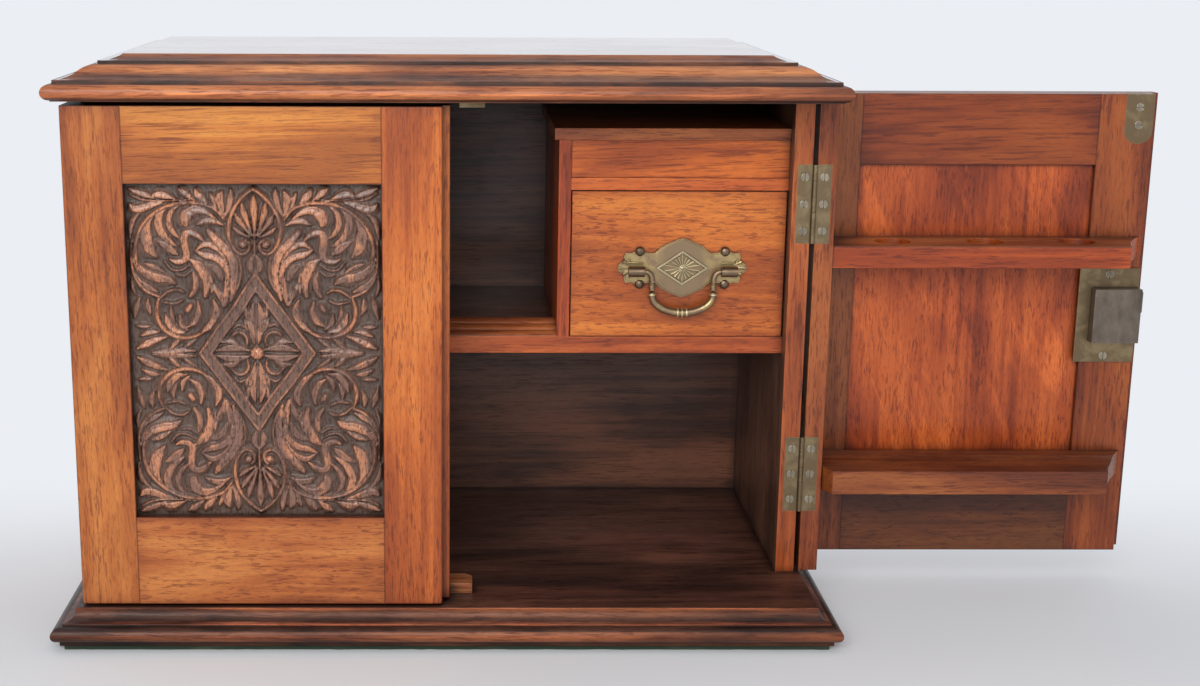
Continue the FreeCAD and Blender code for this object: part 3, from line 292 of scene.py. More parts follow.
def oak_material(name, axis, outside, inside=None, faces=None, seed=0, shade=1.0, inside_shade=1.0,
                 gloss=0.36, coat=0.15, specular=0.4, wave=0.3, dash=(60.0, 900.0), flame=0.0, edge=None,
                 polished=False, shade_shelter_range=(0.84, 0.28), reach=9.0 * MM, courses=()):
    """Varnished oak: soft figure, growth bands, short dark dashes, pores, worn edges with a painted highlight
    and painted shade in the corners. Surfaces that look along faces, an (axis, sign) pair, take the inside
    finish. Wave bends the dashes, flame is the strength of slanting ray flecks, which lean the other way
    below 0, and edge is the (low, high) box that a board darkens towards. The shelter range, within reach,
    is where painted shade darkens the corners. Courses paint shade and highlights, partly grime and wear,
    on a moulding between two heights, each with its share. A polished board is glossy where it lies flat."""
    bench = Bench(name)
    draw = np.random.default_rng(seed)
    shift = own_place(draw)
    lean = float(draw.uniform(-0.03, 0.03))
    turn = {"X": (0.0, lean, lean), "Y": (lean, 0.0, lean), "Z": (lean, lean, 0.0)}[axis]

    def grain(along, across):
        return bench.stretched(along_grain(axis, along, across), shift, turn)

    broad = bench.noise(grain(6.0, 24.0), 3.0, 0.55, 0.5)
    bands = bench.noise(grain(6.0, 230.0), 2.5, 0.6, 0.45)
    dashes = bench.levels(bench.noise(grain(*dash), 2.0, 0.6, wave), 0.54, 0.61)
    clumps = bench.noise(grain(22.0, 60.0), 2.0, 0.55, 0.9)
    dashes = bench.calc("MULTIPLY", dashes, bench.levels(clumps, 0.32, 0.58, 0.40, 1.0))
    pores = bench.levels(bench.noise(grain(170.0, 1700.0), 2.0, 0.6, 0.2), 0.54, 0.62)
    patches = bench.noise(grain(10.0, 14.0), 3.0, 0.5, 0.3)
    figure = bench.calc("ADD", bench.calc("MULTIPLY", broad, 0.68), bench.calc("MULTIPLY", bands, 0.32))
    figure = bench.levels(figure, 0.32, 0.68)
    colour = oak_tones(bench, figure, outside, shade)
    if inside:
        colour = bench.mix(bench.facing(*faces), colour, oak_tones(bench, figure, inside, inside_shade))
    if flame:
        way = math.radians(math.copysign(27.0, -flame))
        slant = bench.stretched((70.0, 40.0, 13.0), shift, (0.0, way, 0.0))
        flecks = bench.levels(bench.noise(slant, 3.5, 0.6, 0.5), 0.50, 0.64)
        colour = bench.tinted(bench.calc("MULTIPLY", flecks, abs(flame)), colour, (1.55, 1.75, 1.75))
    colour = bench.tinted(bench.levels(patches, 0.42, 0.70, 0.0, 0.35), colour, (0.74, 0.62, 0.60))
    colour = bench.tinted(bench.calc("MULTIPLY", dashes, 0.75), colour, (0.45, 0.32, 0.28))
    colour = bench.tinted(bench.calc("MULTIPLY", pores, 0.40), colour, (0.52, 0.42, 0.40))
    shelter = bench.shelter(reach)
    # Painted shade: the colour darkens towards near black in corners, recesses and holes, where the shelter
    # is low.
    colour = bench.tinted(bench.levels(shelter, *shade_shelter_range, 0.0, 0.88), colour, (0.14, 0.10, 0.09))
    # Edges are lightened: wear, partly a painted highlight.
    worn = bench.calc("MULTIPLY", bench.edges(1.2 * MM), bench.levels(shelter, 0.45, 0.8))
    handled = bench.levels(bench.noise(grain(60.0, 60.0), 3.0), 0.38, 0.62, 0.15, 0.8)
    worn = bench.calc("MULTIPLY", worn, handled)
    colour = bench.tinted(worn, colour, (1.45, 1.50, 1.55))
    # Courses paint shade into the hollows and highlights onto the arrises of a moulding, partly grime and
    # wear.
    if courses:
        level = bench.calc("ADD", bench.place("Z"), bench.levels(patches, 0.3, 0.7, -0.3 * MM, 0.3 * MM))
        broken = bench.levels(bench.noise(grain(16.0, 16.0), 4.0, 0.6), 0.36, 0.58, 0.30, 1.0)
        for low, high, share, tint in courses:
            band = bench.calc("MULTIPLY", bench.course(level, low * MM, high * MM), broken)
            colour = bench.tinted(bench.calc("MULTIPLY", band, share), colour, tint)
    if edge:
        gap = bench.border(*edge)
        ragged = bench.calc("SUBTRACT", gap, bench.calc("MULTIPLY", patches, 4.0 * MM))
        # Darker towards the board's edges.
        edge_darkening = bench.levels(ragged, 6.0 * MM, -2.0 * MM, 0.0, 0.40)
        joint = bench.levels(gap, 0.7 * MM, 0.1 * MM, 0.0, 0.75)
        colour = bench.tinted(edge_darkening, colour, (0.66, 0.52, 0.46))
        colour = bench.tinted(joint, colour, (0.34, 0.26, 0.24))
    height = bench.calc("SUBTRACT", bench.calc("MULTIPLY", bands, 0.3), bench.calc("ADD", dashes, pores))
    rough = bench.levels(patches, 0.3, 0.7, gloss - 0.04, gloss + 0.08)
    rough = bench.calc("ADD", rough, bench.calc("MULTIPLY", dashes, 0.12))
    if polished:
        flat = bench.facing("Z", 1, 0.985, 0.999)
        bench.bump(height, 0.03 * MM, 0.12, bench.soft_normal(bpy.context.scene.cabinet_oak.edge_round))
        rough = bench.calc("SUBTRACT", rough, bench.calc("MULTIPLY", flat, 0.20))
        return bench.finish(Base_Color=colour, Roughness=rough, IOR=1.5, Coat_Weight=flat,
                            Coat_Roughness=0.05, Specular_IOR_Level=specular)
    bench.bump(height, 0.06 * MM, 0.35, bench.soft_normal(bpy.context.scene.cabinet_oak.edge_round))
    return bench.finish(Base_Color=colour, Roughness=rough, IOR=1.5, Coat_Weight=coat,
                        Coat_Roughness=0.15, Specular_IOR_Level=specular)


def carved_material(name, seed):
    """Carved oak: stained ground, brown flanks and rubbed tops, from the surface's own relief, with painted
    shade in the creases.
    """
    bench = Bench(name)
    carving = bpy.context.scene.cabinet_carving
    shift = own_place(np.random.default_rng(seed))

    def grain(along, across):
        return bench.stretched(along_grain("Z", along, across), shift)

    carved = bench.add("ShaderNodeAttribute", attribute_name="relief", attribute_type="GEOMETRY")
    relief = carved.outputs["Fac"]
    shelter = bench.shelter(3.0 * MM)
    rubbed = bench.noise(grain(45.0, 75.0), 3.0, 0.55, 0.4)
    pores = bench.levels(bench.noise(grain(260.0, 1150.0), 2.0, 0.6), 0.53, 0.61)
    lines = bench.noise(grain(40.0, 620.0), 3.0, 0.6)
    haze = bench.noise(grain(22.0, 26.0), 2.0, 0.5, 0.3)
    ground, flank, crest = (tuple(getattr(carving, part)) for part in ("ground", "flank", "crest"))
    colour = bench.ramp(relief, [(0.10, ground), (0.55, flank), (0.95, times(flank, 1.2))])
    high = bench.calc("MULTIPLY", bench.levels(relief, 0.42, 0.74), bench.levels(rubbed, 0.44, 0.56))
    high = bench.calc("MULTIPLY", high, bench.levels(shelter, 0.40, 0.75))
    colour = bench.mix(bench.calc("MULTIPLY", high, 0.85), colour, crest)
    colour = bench.tinted(bench.levels(haze, 0.40, 0.62, 0.0, 0.40), colour, (0.66, 0.62, 0.62))
    colour = bench.tinted(bench.calc("MULTIPLY", pores, 0.85), colour, (0.34, 0.25, 0.22))
    colour = bench.tinted(bench.levels(lines, 0.40, 0.62, 0.0, 0.30), colour, (1.32, 1.28, 1.26))
    # Painted shade: the carving darkens in the creases between the leaves, where the shelter is low.
    colour = bench.tinted(bench.levels(shelter, 0.88, 0.38, 0.0, 0.90), colour, (0.20, 0.17, 0.16))
    bench.bump(bench.calc("SUBTRACT", lines, pores), 0.10 * MM, 0.45)
    rough = bench.levels(relief, 0.0, 0.9, 0.48, 0.30)
    gloss = bench.levels(relief, 0.25, 0.80, 0.10, 0.45)
    return bench.finish(Base_Color=colour, Roughness=rough, IOR=1.5, Coat_Weight=gloss, Coat_Roughness=0.16)


def brass_material(name, seed, bare, film, shine=0.5, middle=None):
    """Old brass: brown film with green in the hollows and clean metal where hands rub.
    Around a middle in X, where one is given, the film stays."""
    bench = Bench(name)
    metal = bpy.context.scene.cabinet_metal
    shift = own_place(np.random.default_rng(seed))
    blotches = bench.noise(bench.stretched((95.0, 95.0, 95.0), shift), 4.0, 0.6, 0.4)
    specks = bench.noise(bench.stretched((900.0, 900.0, 900.0), shift), 3.0, 0.6)
    scratches = bench.noise(bench.stretched((250.0, 250.0, 2600.0), shift, (0.3, 0.5, 0.2)), 2.0)
    shelter = bench.shelter(1.3 * MM)
    clean = bench.levels(blotches, 0.62 - 0.40 * shine, 0.82 - 0.30 * shine)
    if middle is not None:
        away = bench.calc("ABSOLUTE", bench.calc("SUBTRACT", bench.place("X"), middle))
        ragged = bench.calc("ADD", away, bench.calc("MULTIPLY", blotches, 8.0 * MM))
        clean = bench.calc("MULTIPLY", clean, bench.levels(ragged, 13.0 * MM, 23.0 * MM, 0.12, 1.0))
    colour = bench.mix(clean, film, bare)
    colour = bench.mix(bench.levels(shelter, 0.95, 0.60, 0.0, 0.55), colour, tuple(metal.verdigris))
    colour = bench.mix(bench.levels(specks, 0.56, 0.70, 0.0, 0.45), colour, film)
    # Edges are lightened: rubbed brass, partly a painted highlight.
    edge = bench.calc("MULTIPLY", bench.edges(0.5 * MM), bench.levels(shelter, 0.55, 0.85, 0.0, 0.7))
    colour = bench.mix(edge, colour, times(bare, 1.35))
    # Painted shade: near black deep in the hollows, where the shelter is low.
    colour = bench.mix(bench.levels(shelter, 0.80, 0.35, 0.0, 0.90), colour, (0.030, 0.022, 0.014))
    rough = bench.calc("ADD", bench.levels(blotches, 0.35, 0.65, 0.46, 0.32),
                       bench.levels(specks, 0.4, 0.7, 0.0, 0.1))
    bench.bump(bench.calc("ADD", specks, bench.calc("MULTIPLY", scratches, 0.5)), 0.05 * MM, 0.30,
               bench.soft_normal(0.25 * MM))
    return bench.finish(Base_Color=colour, Metallic=0.92, Roughness=rough)


def dark_metal_material(name, base, seed, metallic):
    """Darkened lock metal or old steel, with rubbed edges and fine scratches."""
    bench = Bench(name)
    shift = own_place(np.random.default_rng(seed))
    cloud = bench.noise(bench.stretched((110.0, 110.0, 60.0), shift), 4.0, 0.6)
    specks = bench.noise(bench.stretched((1300.0, 1300.0, 1300.0), shift), 2.0)
    scratches = bench.noise(bench.stretched((300.0, 300.0, 3000.0), shift, (0.4, 0.2, 0.3)), 2.0)
    shelter = bench.shelter(2.5 * MM)
    dull = times(base, 0.55)
    lively = times(base, 1.35)
    colour = bench.ramp(cloud, [(0.30, dull), (0.52, base), (0.72, lively)])
    colour = bench.mix(bench.levels(specks, 0.58, 0.72, 0.0, 0.5), colour, dull)
    # Painted shade: the metal darkens in the hollows, where the shelter is low.
    colour = bench.mix(bench.levels(shelter, 0.75, 0.2, 0.0, 0.85), colour, times(base, 0.2))
    colour = bench.mix(bench.calc("MULTIPLY", bench.edges(0.5 * MM), 0.6), colour, times(base, 2.0))
    bench.bump(bench.calc("ADD", specks, scratches), 0.05 * MM, 0.3, bench.soft_normal(0.3 * MM))
    rough = bench.levels(cloud, 0.3, 0.7, 0.30, 0.48)
    return bench.finish(Base_Color=colour, Metallic=metallic, Roughness=rough)


def baize_material(name):
    """Felted green cloth."""
    bench = Bench(name)
    metal = bpy.context.scene.cabinet_metal
    fibres = bench.noise(bench.stretched((2500.0, 2500.0, 2500.0)), 3.0, 0.7)
    worn = bench.noise(bench.stretched((40.0, 40.0, 200.0)), 3.0)
    body = tuple(metal.baize)
    colour = bench.ramp(fibres, [(0.30, times(body, 0.45)), (0.55, body), (0.75, times(body, 1.6))])
    colour = bench.mix(bench.levels(worn, 0.48, 0.68, 0.0, 0.6), colour, (0.075, 0.075, 0.045))
    bench.bump(fibres, 0.4 * MM, 0.8)
    return bench.finish(Base_Color=colour, Roughness=0.95, Sheen_Weight=0.35, Sheen_Roughness=0.5)


def dress(node, material):
    """Put one material on a CAD node."""
    data = NODES[node].data
    data.materials.clear()
    data.materials.append(material)


def piece_from(bm, name, materials, body, replaced, smooth=math.radians(38)):
    """Turn a finished bmesh into a piece that rides on a body and stands for CAD nodes."""
    data = bpy.data.meshes.new(name)
    bm.to_mesh(data)
    bm.free()
    data.shade_smooth()
    data.set_sharp_from_angle(angle=smooth)
    for material in materials:
        data.materials.append(material)
    piece = bpy.data.objects.new(name, data)
    bpy.context.scene.collection.objects.link(piece)
    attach(piece, body)
    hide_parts(replaced)
    return piece


# Strokes of the carving in one quarter of the panel, in millimetres from its middle.
# Each has its profile, its height as a share of the full rise, and points (right, up, half width).
STROKES = [
    ("ridge", 0.92, [(0.0, 88.0, 1.1), (5.0, 84.3, 1.4), (9.4, 79.0, 1.5), (12.3, 73.0, 1.6),
                     (13.4, 66.0, 1.6), (12.4, 60.0, 1.5), (10.0, 55.6, 1.4), (7.3, 53.6, 1.4),
                     (4.5, 54.2, 1.3), (2.7, 56.6, 1.3), (2.8, 59.3, 1.2), (4.4, 61.3, 1.0)]),
    ("round", 0.95, [(5.6, 58.6, 2.2), (6.2, 58.9, 2.2)]),
    ("round", 0.96, [(0.0, 62.0, 0.6), (0.0, 71.0, 1.5), (0.0, 78.4, 2.3), (0.0, 85.0, 0.6)]),
    ("round", 0.94, [(1.2, 63.8, 0.5), (3.5, 70.4, 1.4), (5.3, 75.8, 2.1), (6.2, 80.4, 0.6)]),
    ("round", 0.92, [(1.8, 63.4, 0.5), (5.2, 67.8, 1.4), (8.0, 71.8, 2.0), (9.6, 74.8, 0.6)]),
    ("round", 0.88, [(2.4, 62.6, 0.5), (5.9, 64.4, 1.2), (8.8, 66.2, 1.7), (11.0, 68.0, 0.6)]),
    ("round", 0.70, [(0.0, 54.0, 0.7), (0.0, 58.0, 0.9), (0.0, 62.0, 0.7)]),
    ("scoop", 0.78, [(0.4, 53.2, 0.5), (2.0, 50.4, 1.4), (2.6, 47.2, 1.7), (1.8, 44.6, 1.2),
                     (0.4, 42.6, 0.4)]),
    ("ridge", 0.60, [(8.6, 53.2, 0.8), (7.6, 47.0, 0.9), (7.8, 41.0, 0.9), (9.6, 35.6, 0.9),
                     (12.4, 30.6, 0.8)]),
    ("leaf", 1.00, [(13.2, 29.0, 0.9), (11.6, 36.0, 1.8), (10.8, 43.0, 2.3), (11.6, 49.6, 2.7),
                    (14.4, 55.2, 2.9), (18.4, 59.6, 2.6), (22.4, 64.0, 1.8), (24.2, 66.8, 0.5)]),
    ("leaf", 0.90, [(14.2, 49.0, 0.9), (17.2, 54.4, 1.6), (21.6, 57.8, 1.9), (26.0, 58.6, 1.7),
                    (30.6, 55.6, 0.5)]),
    ("leaf", 0.94, [(14.6, 36.0, 0.9), (14.0, 43.0, 1.7), (16.8, 48.6, 2.1), (21.2, 51.8, 2.2),
                    (26.2, 53.0, 1.9), (31.0, 55.4, 0.5)]),
    ("leaf", 0.90, [(16.8, 26.4, 1.0), (15.8, 31.0, 1.8), (14.9, 36.0, 2.0), (14.8, 41.0, 0.9)]),
    ("leaf", 0.84, [(17.6, 26.0, 0.9), (18.6, 30.6, 1.7), (20.8, 34.6, 1.9), (23.4, 38.4, 0.5)]),
    ("scoop", 0.66, [(17.4, 39.6, 1.0), (19.4, 44.0, 2.2), (22.8, 46.9, 1.7), (25.2, 47.6, 0.5)]),
    ("leaf", 0.96, [(26.6, 31.0, 1.0), (25.8, 37.4, 2.1), (26.8, 42.6, 2.9), (29.6, 47.4, 2.8),
                    (34.2, 51.0, 0.6)]),
    ("leaf", 0.82, [(34.2, 30.6, 0.9), (31.8, 35.0, 1.6), (31.4, 40.0, 1.8), (32.8, 44.4, 0.5)]),
    ("round", 0.60, [(23.2, 33.0, 0.8), (23.0, 38.0, 1.2), (23.8, 43.0, 0.6)]),
    ("leaf", 1.00, [(26.6, 60.8, 0.7), (30.0, 63.6, 1.7), (34.0, 65.0, 2.0), (36.6, 62.6, 2.2),
                    (36.4, 57.4, 2.2), (35.7, 53.2, 2.1), (37.4, 50.4, 1.9), (41.2, 49.6, 1.5),
                    (44.6, 50.8, 0.6)]),
    ("ridge", 0.96, [(15.6, 72.0, 0.9), (19.4, 76.8, 1.2), (25.0, 79.6, 1.4), (32.0, 80.8, 1.5),
                     (40.0, 80.2, 1.6), (47.4, 77.8, 1.6), (54.0, 73.0, 1.5), (59.0, 67.0, 1.5),
                     (61.8, 60.0, 1.5), (62.4, 53.0, 1.4), (61.2, 46.6, 1.3), (58.0, 41.8, 1.0)]),
    ("ridge", 0.80, [(64.2, 60.0, 0.5), (64.8, 52.0, 1.0), (64.0, 44.0, 1.2), (61.4, 38.0, 1.3),
                     (57.0, 33.4, 1.3), (51.0, 30.6, 0.9)]),
    ("leaf", 1.00, [(53.2, 72.4, 0.7), (56.2, 68.2, 2.6), (56.6, 62.4, 3.5), (55.0, 56.6, 3.3),
                    (51.4, 51.8, 0.7)]),
    ("leaf", 0.98, [(44.6, 78.6, 0.7), (48.6, 75.2, 2.0), (49.8, 69.6, 2.5), (47.8, 64.0, 2.4),
                    (44.2, 60.0, 1.6), (40.8, 57.8, 0.5)]),
    ("leaf", 0.92, [(39.8, 79.0, 0.6), (43.4, 75.4, 1.6), (44.4, 70.0, 1.9), (42.4, 65.0, 1.6),
                    (38.8, 61.6, 0.4)]),
    ("scoop", 0.88, [(51.0, 60.4, 0.6), (47.4, 58.4, 1.8), (43.8, 55.8, 2.2), (40.6, 53.4, 0.6)]),
    ("leaf", 1.00, [(20.0, 72.6, 0.6), (25.6, 76.2, 1.9), (31.0, 77.2, 2.8), (34.8, 74.6, 3.5),
                    (36.2, 71.0, 2.6), (35.2, 68.2, 0.6)]),
    ("leaf", 0.86, [(16.2, 69.2, 0.6), (20.6, 71.2, 1.7), (25.4, 71.2, 2.0), (29.8, 69.2, 0.5)]),
    ("scoop", 0.88, [(15.2, 73.4, 0.5), (13.0, 78.2, 1.4), (11.7, 83.4, 1.7), (11.6, 87.6, 0.4)]),
    ("scoop", 0.94, [(16.0, 73.8, 0.5), (17.0, 78.6, 2.0), (17.6, 82.8, 2.4), (16.2, 86.6, 0.4)]),
    ("leaf", 0.88, [(17.0, 74.2, 0.5), (19.6, 79.2, 1.5), (21.0, 82.6, 1.6), (22.4, 85.6, 0.4)]),
    ("leaf", 0.96, [(23.4, 79.8, 0.5), (26.4, 82.8, 2.0), (28.8, 85.0, 2.1), (30.2, 87.8, 0.4)]),
    ("leaf", 0.94, [(30.8, 82.2, 0.5), (34.2, 84.8, 1.8), (36.6, 86.4, 1.9), (39.0, 88.2, 0.4)]),
    ("leaf", 0.94, [(41.0, 82.8, 0.4), (45.4, 84.4, 1.9), (49.4, 85.2, 2.2), (53.4, 84.2, 0.5)]),
    ("leaf", 0.80, [(51.0, 83.0, 0.5), (56.0, 84.9, 1.7), (61.0, 86.6, 1.7), (65.0, 88.4, 0.4)]),
    ("leaf", 0.94, [(47.4, 80.6, 0.5), (52.4, 79.6, 1.8), (57.4, 78.0, 2.5), (61.6, 77.4, 2.2),
                    (64.6, 79.8, 0.5)]),
    ("ridge", 0.70, [(33.0, 82.4, 0.5), (44.0, 81.8, 0.8), (52.0, 81.7, 0.9), (59.0, 82.6, 0.9),
                     (64.4, 85.4, 0.5)]),
    ("leaf", 0.74, [(59.0, 75.2, 0.5), (62.2, 72.4, 1.3), (64.2, 68.0, 1.4), (65.2, 62.0, 0.4)]),
    ("leaf", 1.00, [(63.0, 50.4, 1.0), (60.8, 45.8, 2.1), (56.2, 42.4, 2.7), (50.8, 40.6, 2.8),
                    (46.0, 39.8, 2.3), (42.2, 37.4, 0.6)]),
    ("leaf", 0.86, [(63.6, 43.4, 0.7), (60.6, 38.6, 1.6), (56.2, 35.6, 1.7), (51.6, 33.0, 0.5)]),
    ("leaf", 0.82, [(58.0, 48.0, 0.5), (54.2, 46.8, 1.6), (50.6, 45.2, 1.4), (47.6, 43.4, 0.5)]),
    ("ridge", 0.56, [(34.4, 47.8, 0.6), (38.6, 45.2, 1.0), (43.6, 45.2, 1.0), (47.4, 49.6, 0.6)]),
    ("ridge", 0.48, [(33.8, 44.6, 0.6), (37.6, 42.0, 1.0), (42.0, 42.4, 0.6)]),
    ("ridge", 0.90, [(51.2, 29.4, 0.8), (52.8, 23.4, 1.5), (51.4, 16.6, 1.7), (47.0, 11.4, 1.8),
                     (40.6, 8.8, 1.7), (33.8, 9.0, 1.3), (28.4, 11.4, 0.8)]),
    ("leaf", 0.94, [(22.6, 29.0, 0.6), (21.0, 24.2, 2.0), (21.6, 19.0, 2.3), (24.8, 14.6, 1.9),
                    (29.6, 11.4, 0.5)]),
    ("ridge", 0.70, [(37.6, 32.6, 0.6), (41.2, 34.2, 1.0), (46.2, 33.0, 1.1), (50.2, 29.8, 0.7)]),
    ("ridge", 0.60, [(38.6, 28.6, 0.6), (43.0, 26.8, 1.0), (49.4, 27.8, 0.6)]),
    ("leaf", 0.86, [(30.6, 28.0, 0.7), (30.2, 22.4, 1.8), (32.2, 17.4, 1.9), (36.6, 14.4, 0.5)]),
    ("leaf", 0.98, [(38.0, 11.6, 0.6), (42.6, 12.4, 1.8), (46.6, 16.4, 2.1), (48.2, 21.4, 0.5)]),
    ("leaf", 0.84, [(36.4, 12.6, 0.5), (39.8, 15.8, 1.6), (40.4, 20.8, 0.6)]),
    ("leaf", 0.78, [(45.0, 25.0, 0.5), (45.2, 21.2, 1.3), (43.4, 17.2, 0.5)]),
    ("round", 0.74, [(34.6, 25.4, 1.7), (36.0, 23.4, 1.7)]),
    ("leaf", 0.78, [(57.0, 29.6, 0.5), (57.2, 25.4, 1.7), (55.8, 21.0, 0.5)]),
    ("leaf", 0.74, [(61.6, 30.0, 0.6), (62.8, 25.0, 1.6), (64.2, 19.0, 0.4)]),
    ("leaf", 0.66, [(64.8, 41.0, 0.4), (65.0, 36.4, 1.0), (63.4, 31.6, 0.5)]),
    ("leaf", 0.98, [(48.2, 9.2, 0.5), (53.2, 7.6, 1.7), (58.2, 5.2, 2.1), (63.6, 2.4, 0.4)]),
    ("leaf", 0.86, [(52.0, 11.8, 0.5), (56.4, 11.4, 1.7), (61.4, 9.2, 0.5)]),
    ("leaf", 0.76, [(56.2, 14.6, 0.4), (59.8, 14.4, 1.2), (63.2, 14.6, 0.3)]),
    ("leaf", 0.86, [(41.2, 8.0, 0.5), (44.0, 5.2, 1.6), (46.6, 2.6, 0.5)]),
    ("leaf", 0.70, [(32.6, 7.4, 0.5), (36.2, 5.4, 1.4), (39.0, 2.8, 0.5)]),
    ("leaf", 0.76, [(33.0, 1.4, 0.6), (40.0, 1.6, 1.6), (48.0, 1.0, 1.7), (56.0, 0.6, 0.5)]),
    ("scoop", 0.90, [(1.2, 5.4, 0.6), (2.2, 10.6, 1.9), (3.0, 15.6, 2.3), (2.8, 20.8, 2.0),
                     (1.6, 27.0, 0.5)]),
    ("leaf", 0.80, [(3.0, 11.2, 0.5), (5.2, 14.0, 1.4), (6.6, 18.0, 0.4)]),
    ("leaf", 0.78, [(3.2, 17.2, 0.5), (5.2, 20.4, 1.3), (5.6, 25.0, 0.4)]),
    ("scoop", 0.88, [(4.4, 1.6, 0.5), (9.4, 2.6, 1.6), (14.6, 2.9, 2.1), (21.6, 1.2, 0.4)]),
    ("leaf", 0.82, [(9.6, 4.2, 0.5), (13.6, 6.4, 1.7), (18.6, 6.2, 0.4)]),
    ("ridge", 0.74, [(5.4, 3.8, 0.6), (5.0, 7.4, 1.1), (7.0, 10.6, 1.3), (10.8, 11.4, 1.3),
                     (13.8, 8.8, 0.6)]),
    ("ridge", 0.58, [(5.6, 13.2, 0.5), (9.6, 15.6, 1.1), (12.4, 13.6, 0.5)]),
    ("ridge", 0.42, [(0.0, 4.0, 0.8), (0.0, 16.0, 0.7), (0.0, 28.0, 0.4)]),
]
# The lozenge's two lines with their half width, half height and share of the rise, how wide the lines are,
# the flat band between them, and the low moat just outside. The flower is at its middle.
LOZENGE = ((30.6, 42.8, 0.60), (24.6, 34.4, 0.56))
LOZENGE_LINE = 1.1
BAND_SHARE = 0.34
MOAT_EDGE = 1.09
MOAT_SHARE = 0.25
FLOWER_RADIUS = 4.0
FLOWER_PETALS = 8
# The carver's hand: how far lines wander to the right and up, the marks of the gouge, the bed that slopes
# up to each stroke, and the cut where two strokes meet.
WANDER = (0.7, 0.6)
WANDER_SCALE = 0.05
GOUGE_MARKS = 0.045
GOUGE_SCALE = 0.55
GROUND_SHARE = 0.02
BED_SHARE = 0.42
BED_SPREAD = 1.9
SEAM_DEPTH = 0.45
SEAM_WIDTH = 0.12
# The least half width of a stroke and of its bed, and how deep and how close a leaf's lobes are.
STROKE_NARROWEST = 0.25
BED_NARROWEST = 0.6
LOBES = 0.05
LOBE_RATE = 1.1
FAR_OFF = 9.0


def smooth_path(points, steps=6):
    """Points on a smooth line through the given ones, with the half width carried along."""
    knots = np.array([points[0]] + list(points) + [points[-1]], float)
    found = []
    for before, start, end, after in zip(knots, knots[1:], knots[2:], knots[3:]):
        for t in np.arange(steps) / steps:
            found.append(0.5 * (2 * start + (end - before) * t
                                + (2 * before - 5 * start + 4 * end - after) * t ** 2
                                + (3 * start - before - 3 * end + after) * t ** 3))
    found.append(knots[-1])
    return np.array(found)


def nearest(right, up, points, narrowest, lobes=0.0):
    """Distance from a stroke's middle line in half widths, the run along it and the side of it."""
    path = smooth_path(points)
    best = np.full(right.shape, FAR_OFF)
    along = np.zeros(right.shape)
    side = np.zeros(right.shape)
    run = 0.0
    for (x0, z0, w0), (x1, z1, w1) in zip(path, path[1:]):
        dx, dz = x1 - x0, z1 - z0
        span = max(math.hypot(dx, dz), 1e-6)
        t = np.clip(((right - x0) * dx + (up - z0) * dz) / span ** 2, 0.0, 1.0)
        width = (w0 + t * (w1 - w0)) * (1.0 + lobes * np.cos((run + t * span) * LOBE_RATE))
        away = np.hypot(right - x0 - t * dx, up - z0 - t * dz) / np.maximum(width, narrowest)
        nearer = away < best
        along = np.where(nearer, run + t * span, along)
        side = np.where(nearer, np.sign((right - x0) * dz - (up - z0) * dx), side)
        best = np.where(nearer, away, best)
        run += span
    return best, along, side


def stroke_height(right, up, kind, share, points):
    """Height of one stroke at every place, from 0 on the ground to its share of the rise."""
    best, along, side = nearest(right, up, points, STROKE_NARROWEST, LOBES if kind == "leaf" else 0.0)
    crown = np.sqrt(np.clip(1.0 - best ** 2, 0.0, 1.0))
    flat = np.clip(1.0 - best ** 3.6, 0.0, 1.0) ** 0.6
    if kind == "ridge":
        height = 0.45 * crown + 0.55 * np.clip(1.0 - best, 0.0, 1.0)
    elif kind == "scoop":
        height = flat * (0.60 + 0.40 * np.clip(best, 0.0, 1.0) ** 2)
    elif kind == "leaf":
        across = side * np.clip(best, 0.0, 1.0)
        dish = 0.70 + 0.11 * across + 0.19 * across ** 2
        vein = 1.0 - 0.10 * np.exp(-((across + 0.25) / 0.14) ** 2)
        height = flat * dish * vein * (1.0 - 0.035 * (1.0 + np.cos(along * 1.7 + 2.2 * across)))
    else:
        height = crown
    return share * height


def panel_noise(right, up, scale, layer):
    """Smooth noise at every place of the panel."""
    return np.array([noise.noise(Vector((x * scale, z * scale, layer))) for x, z in zip(right, up)])


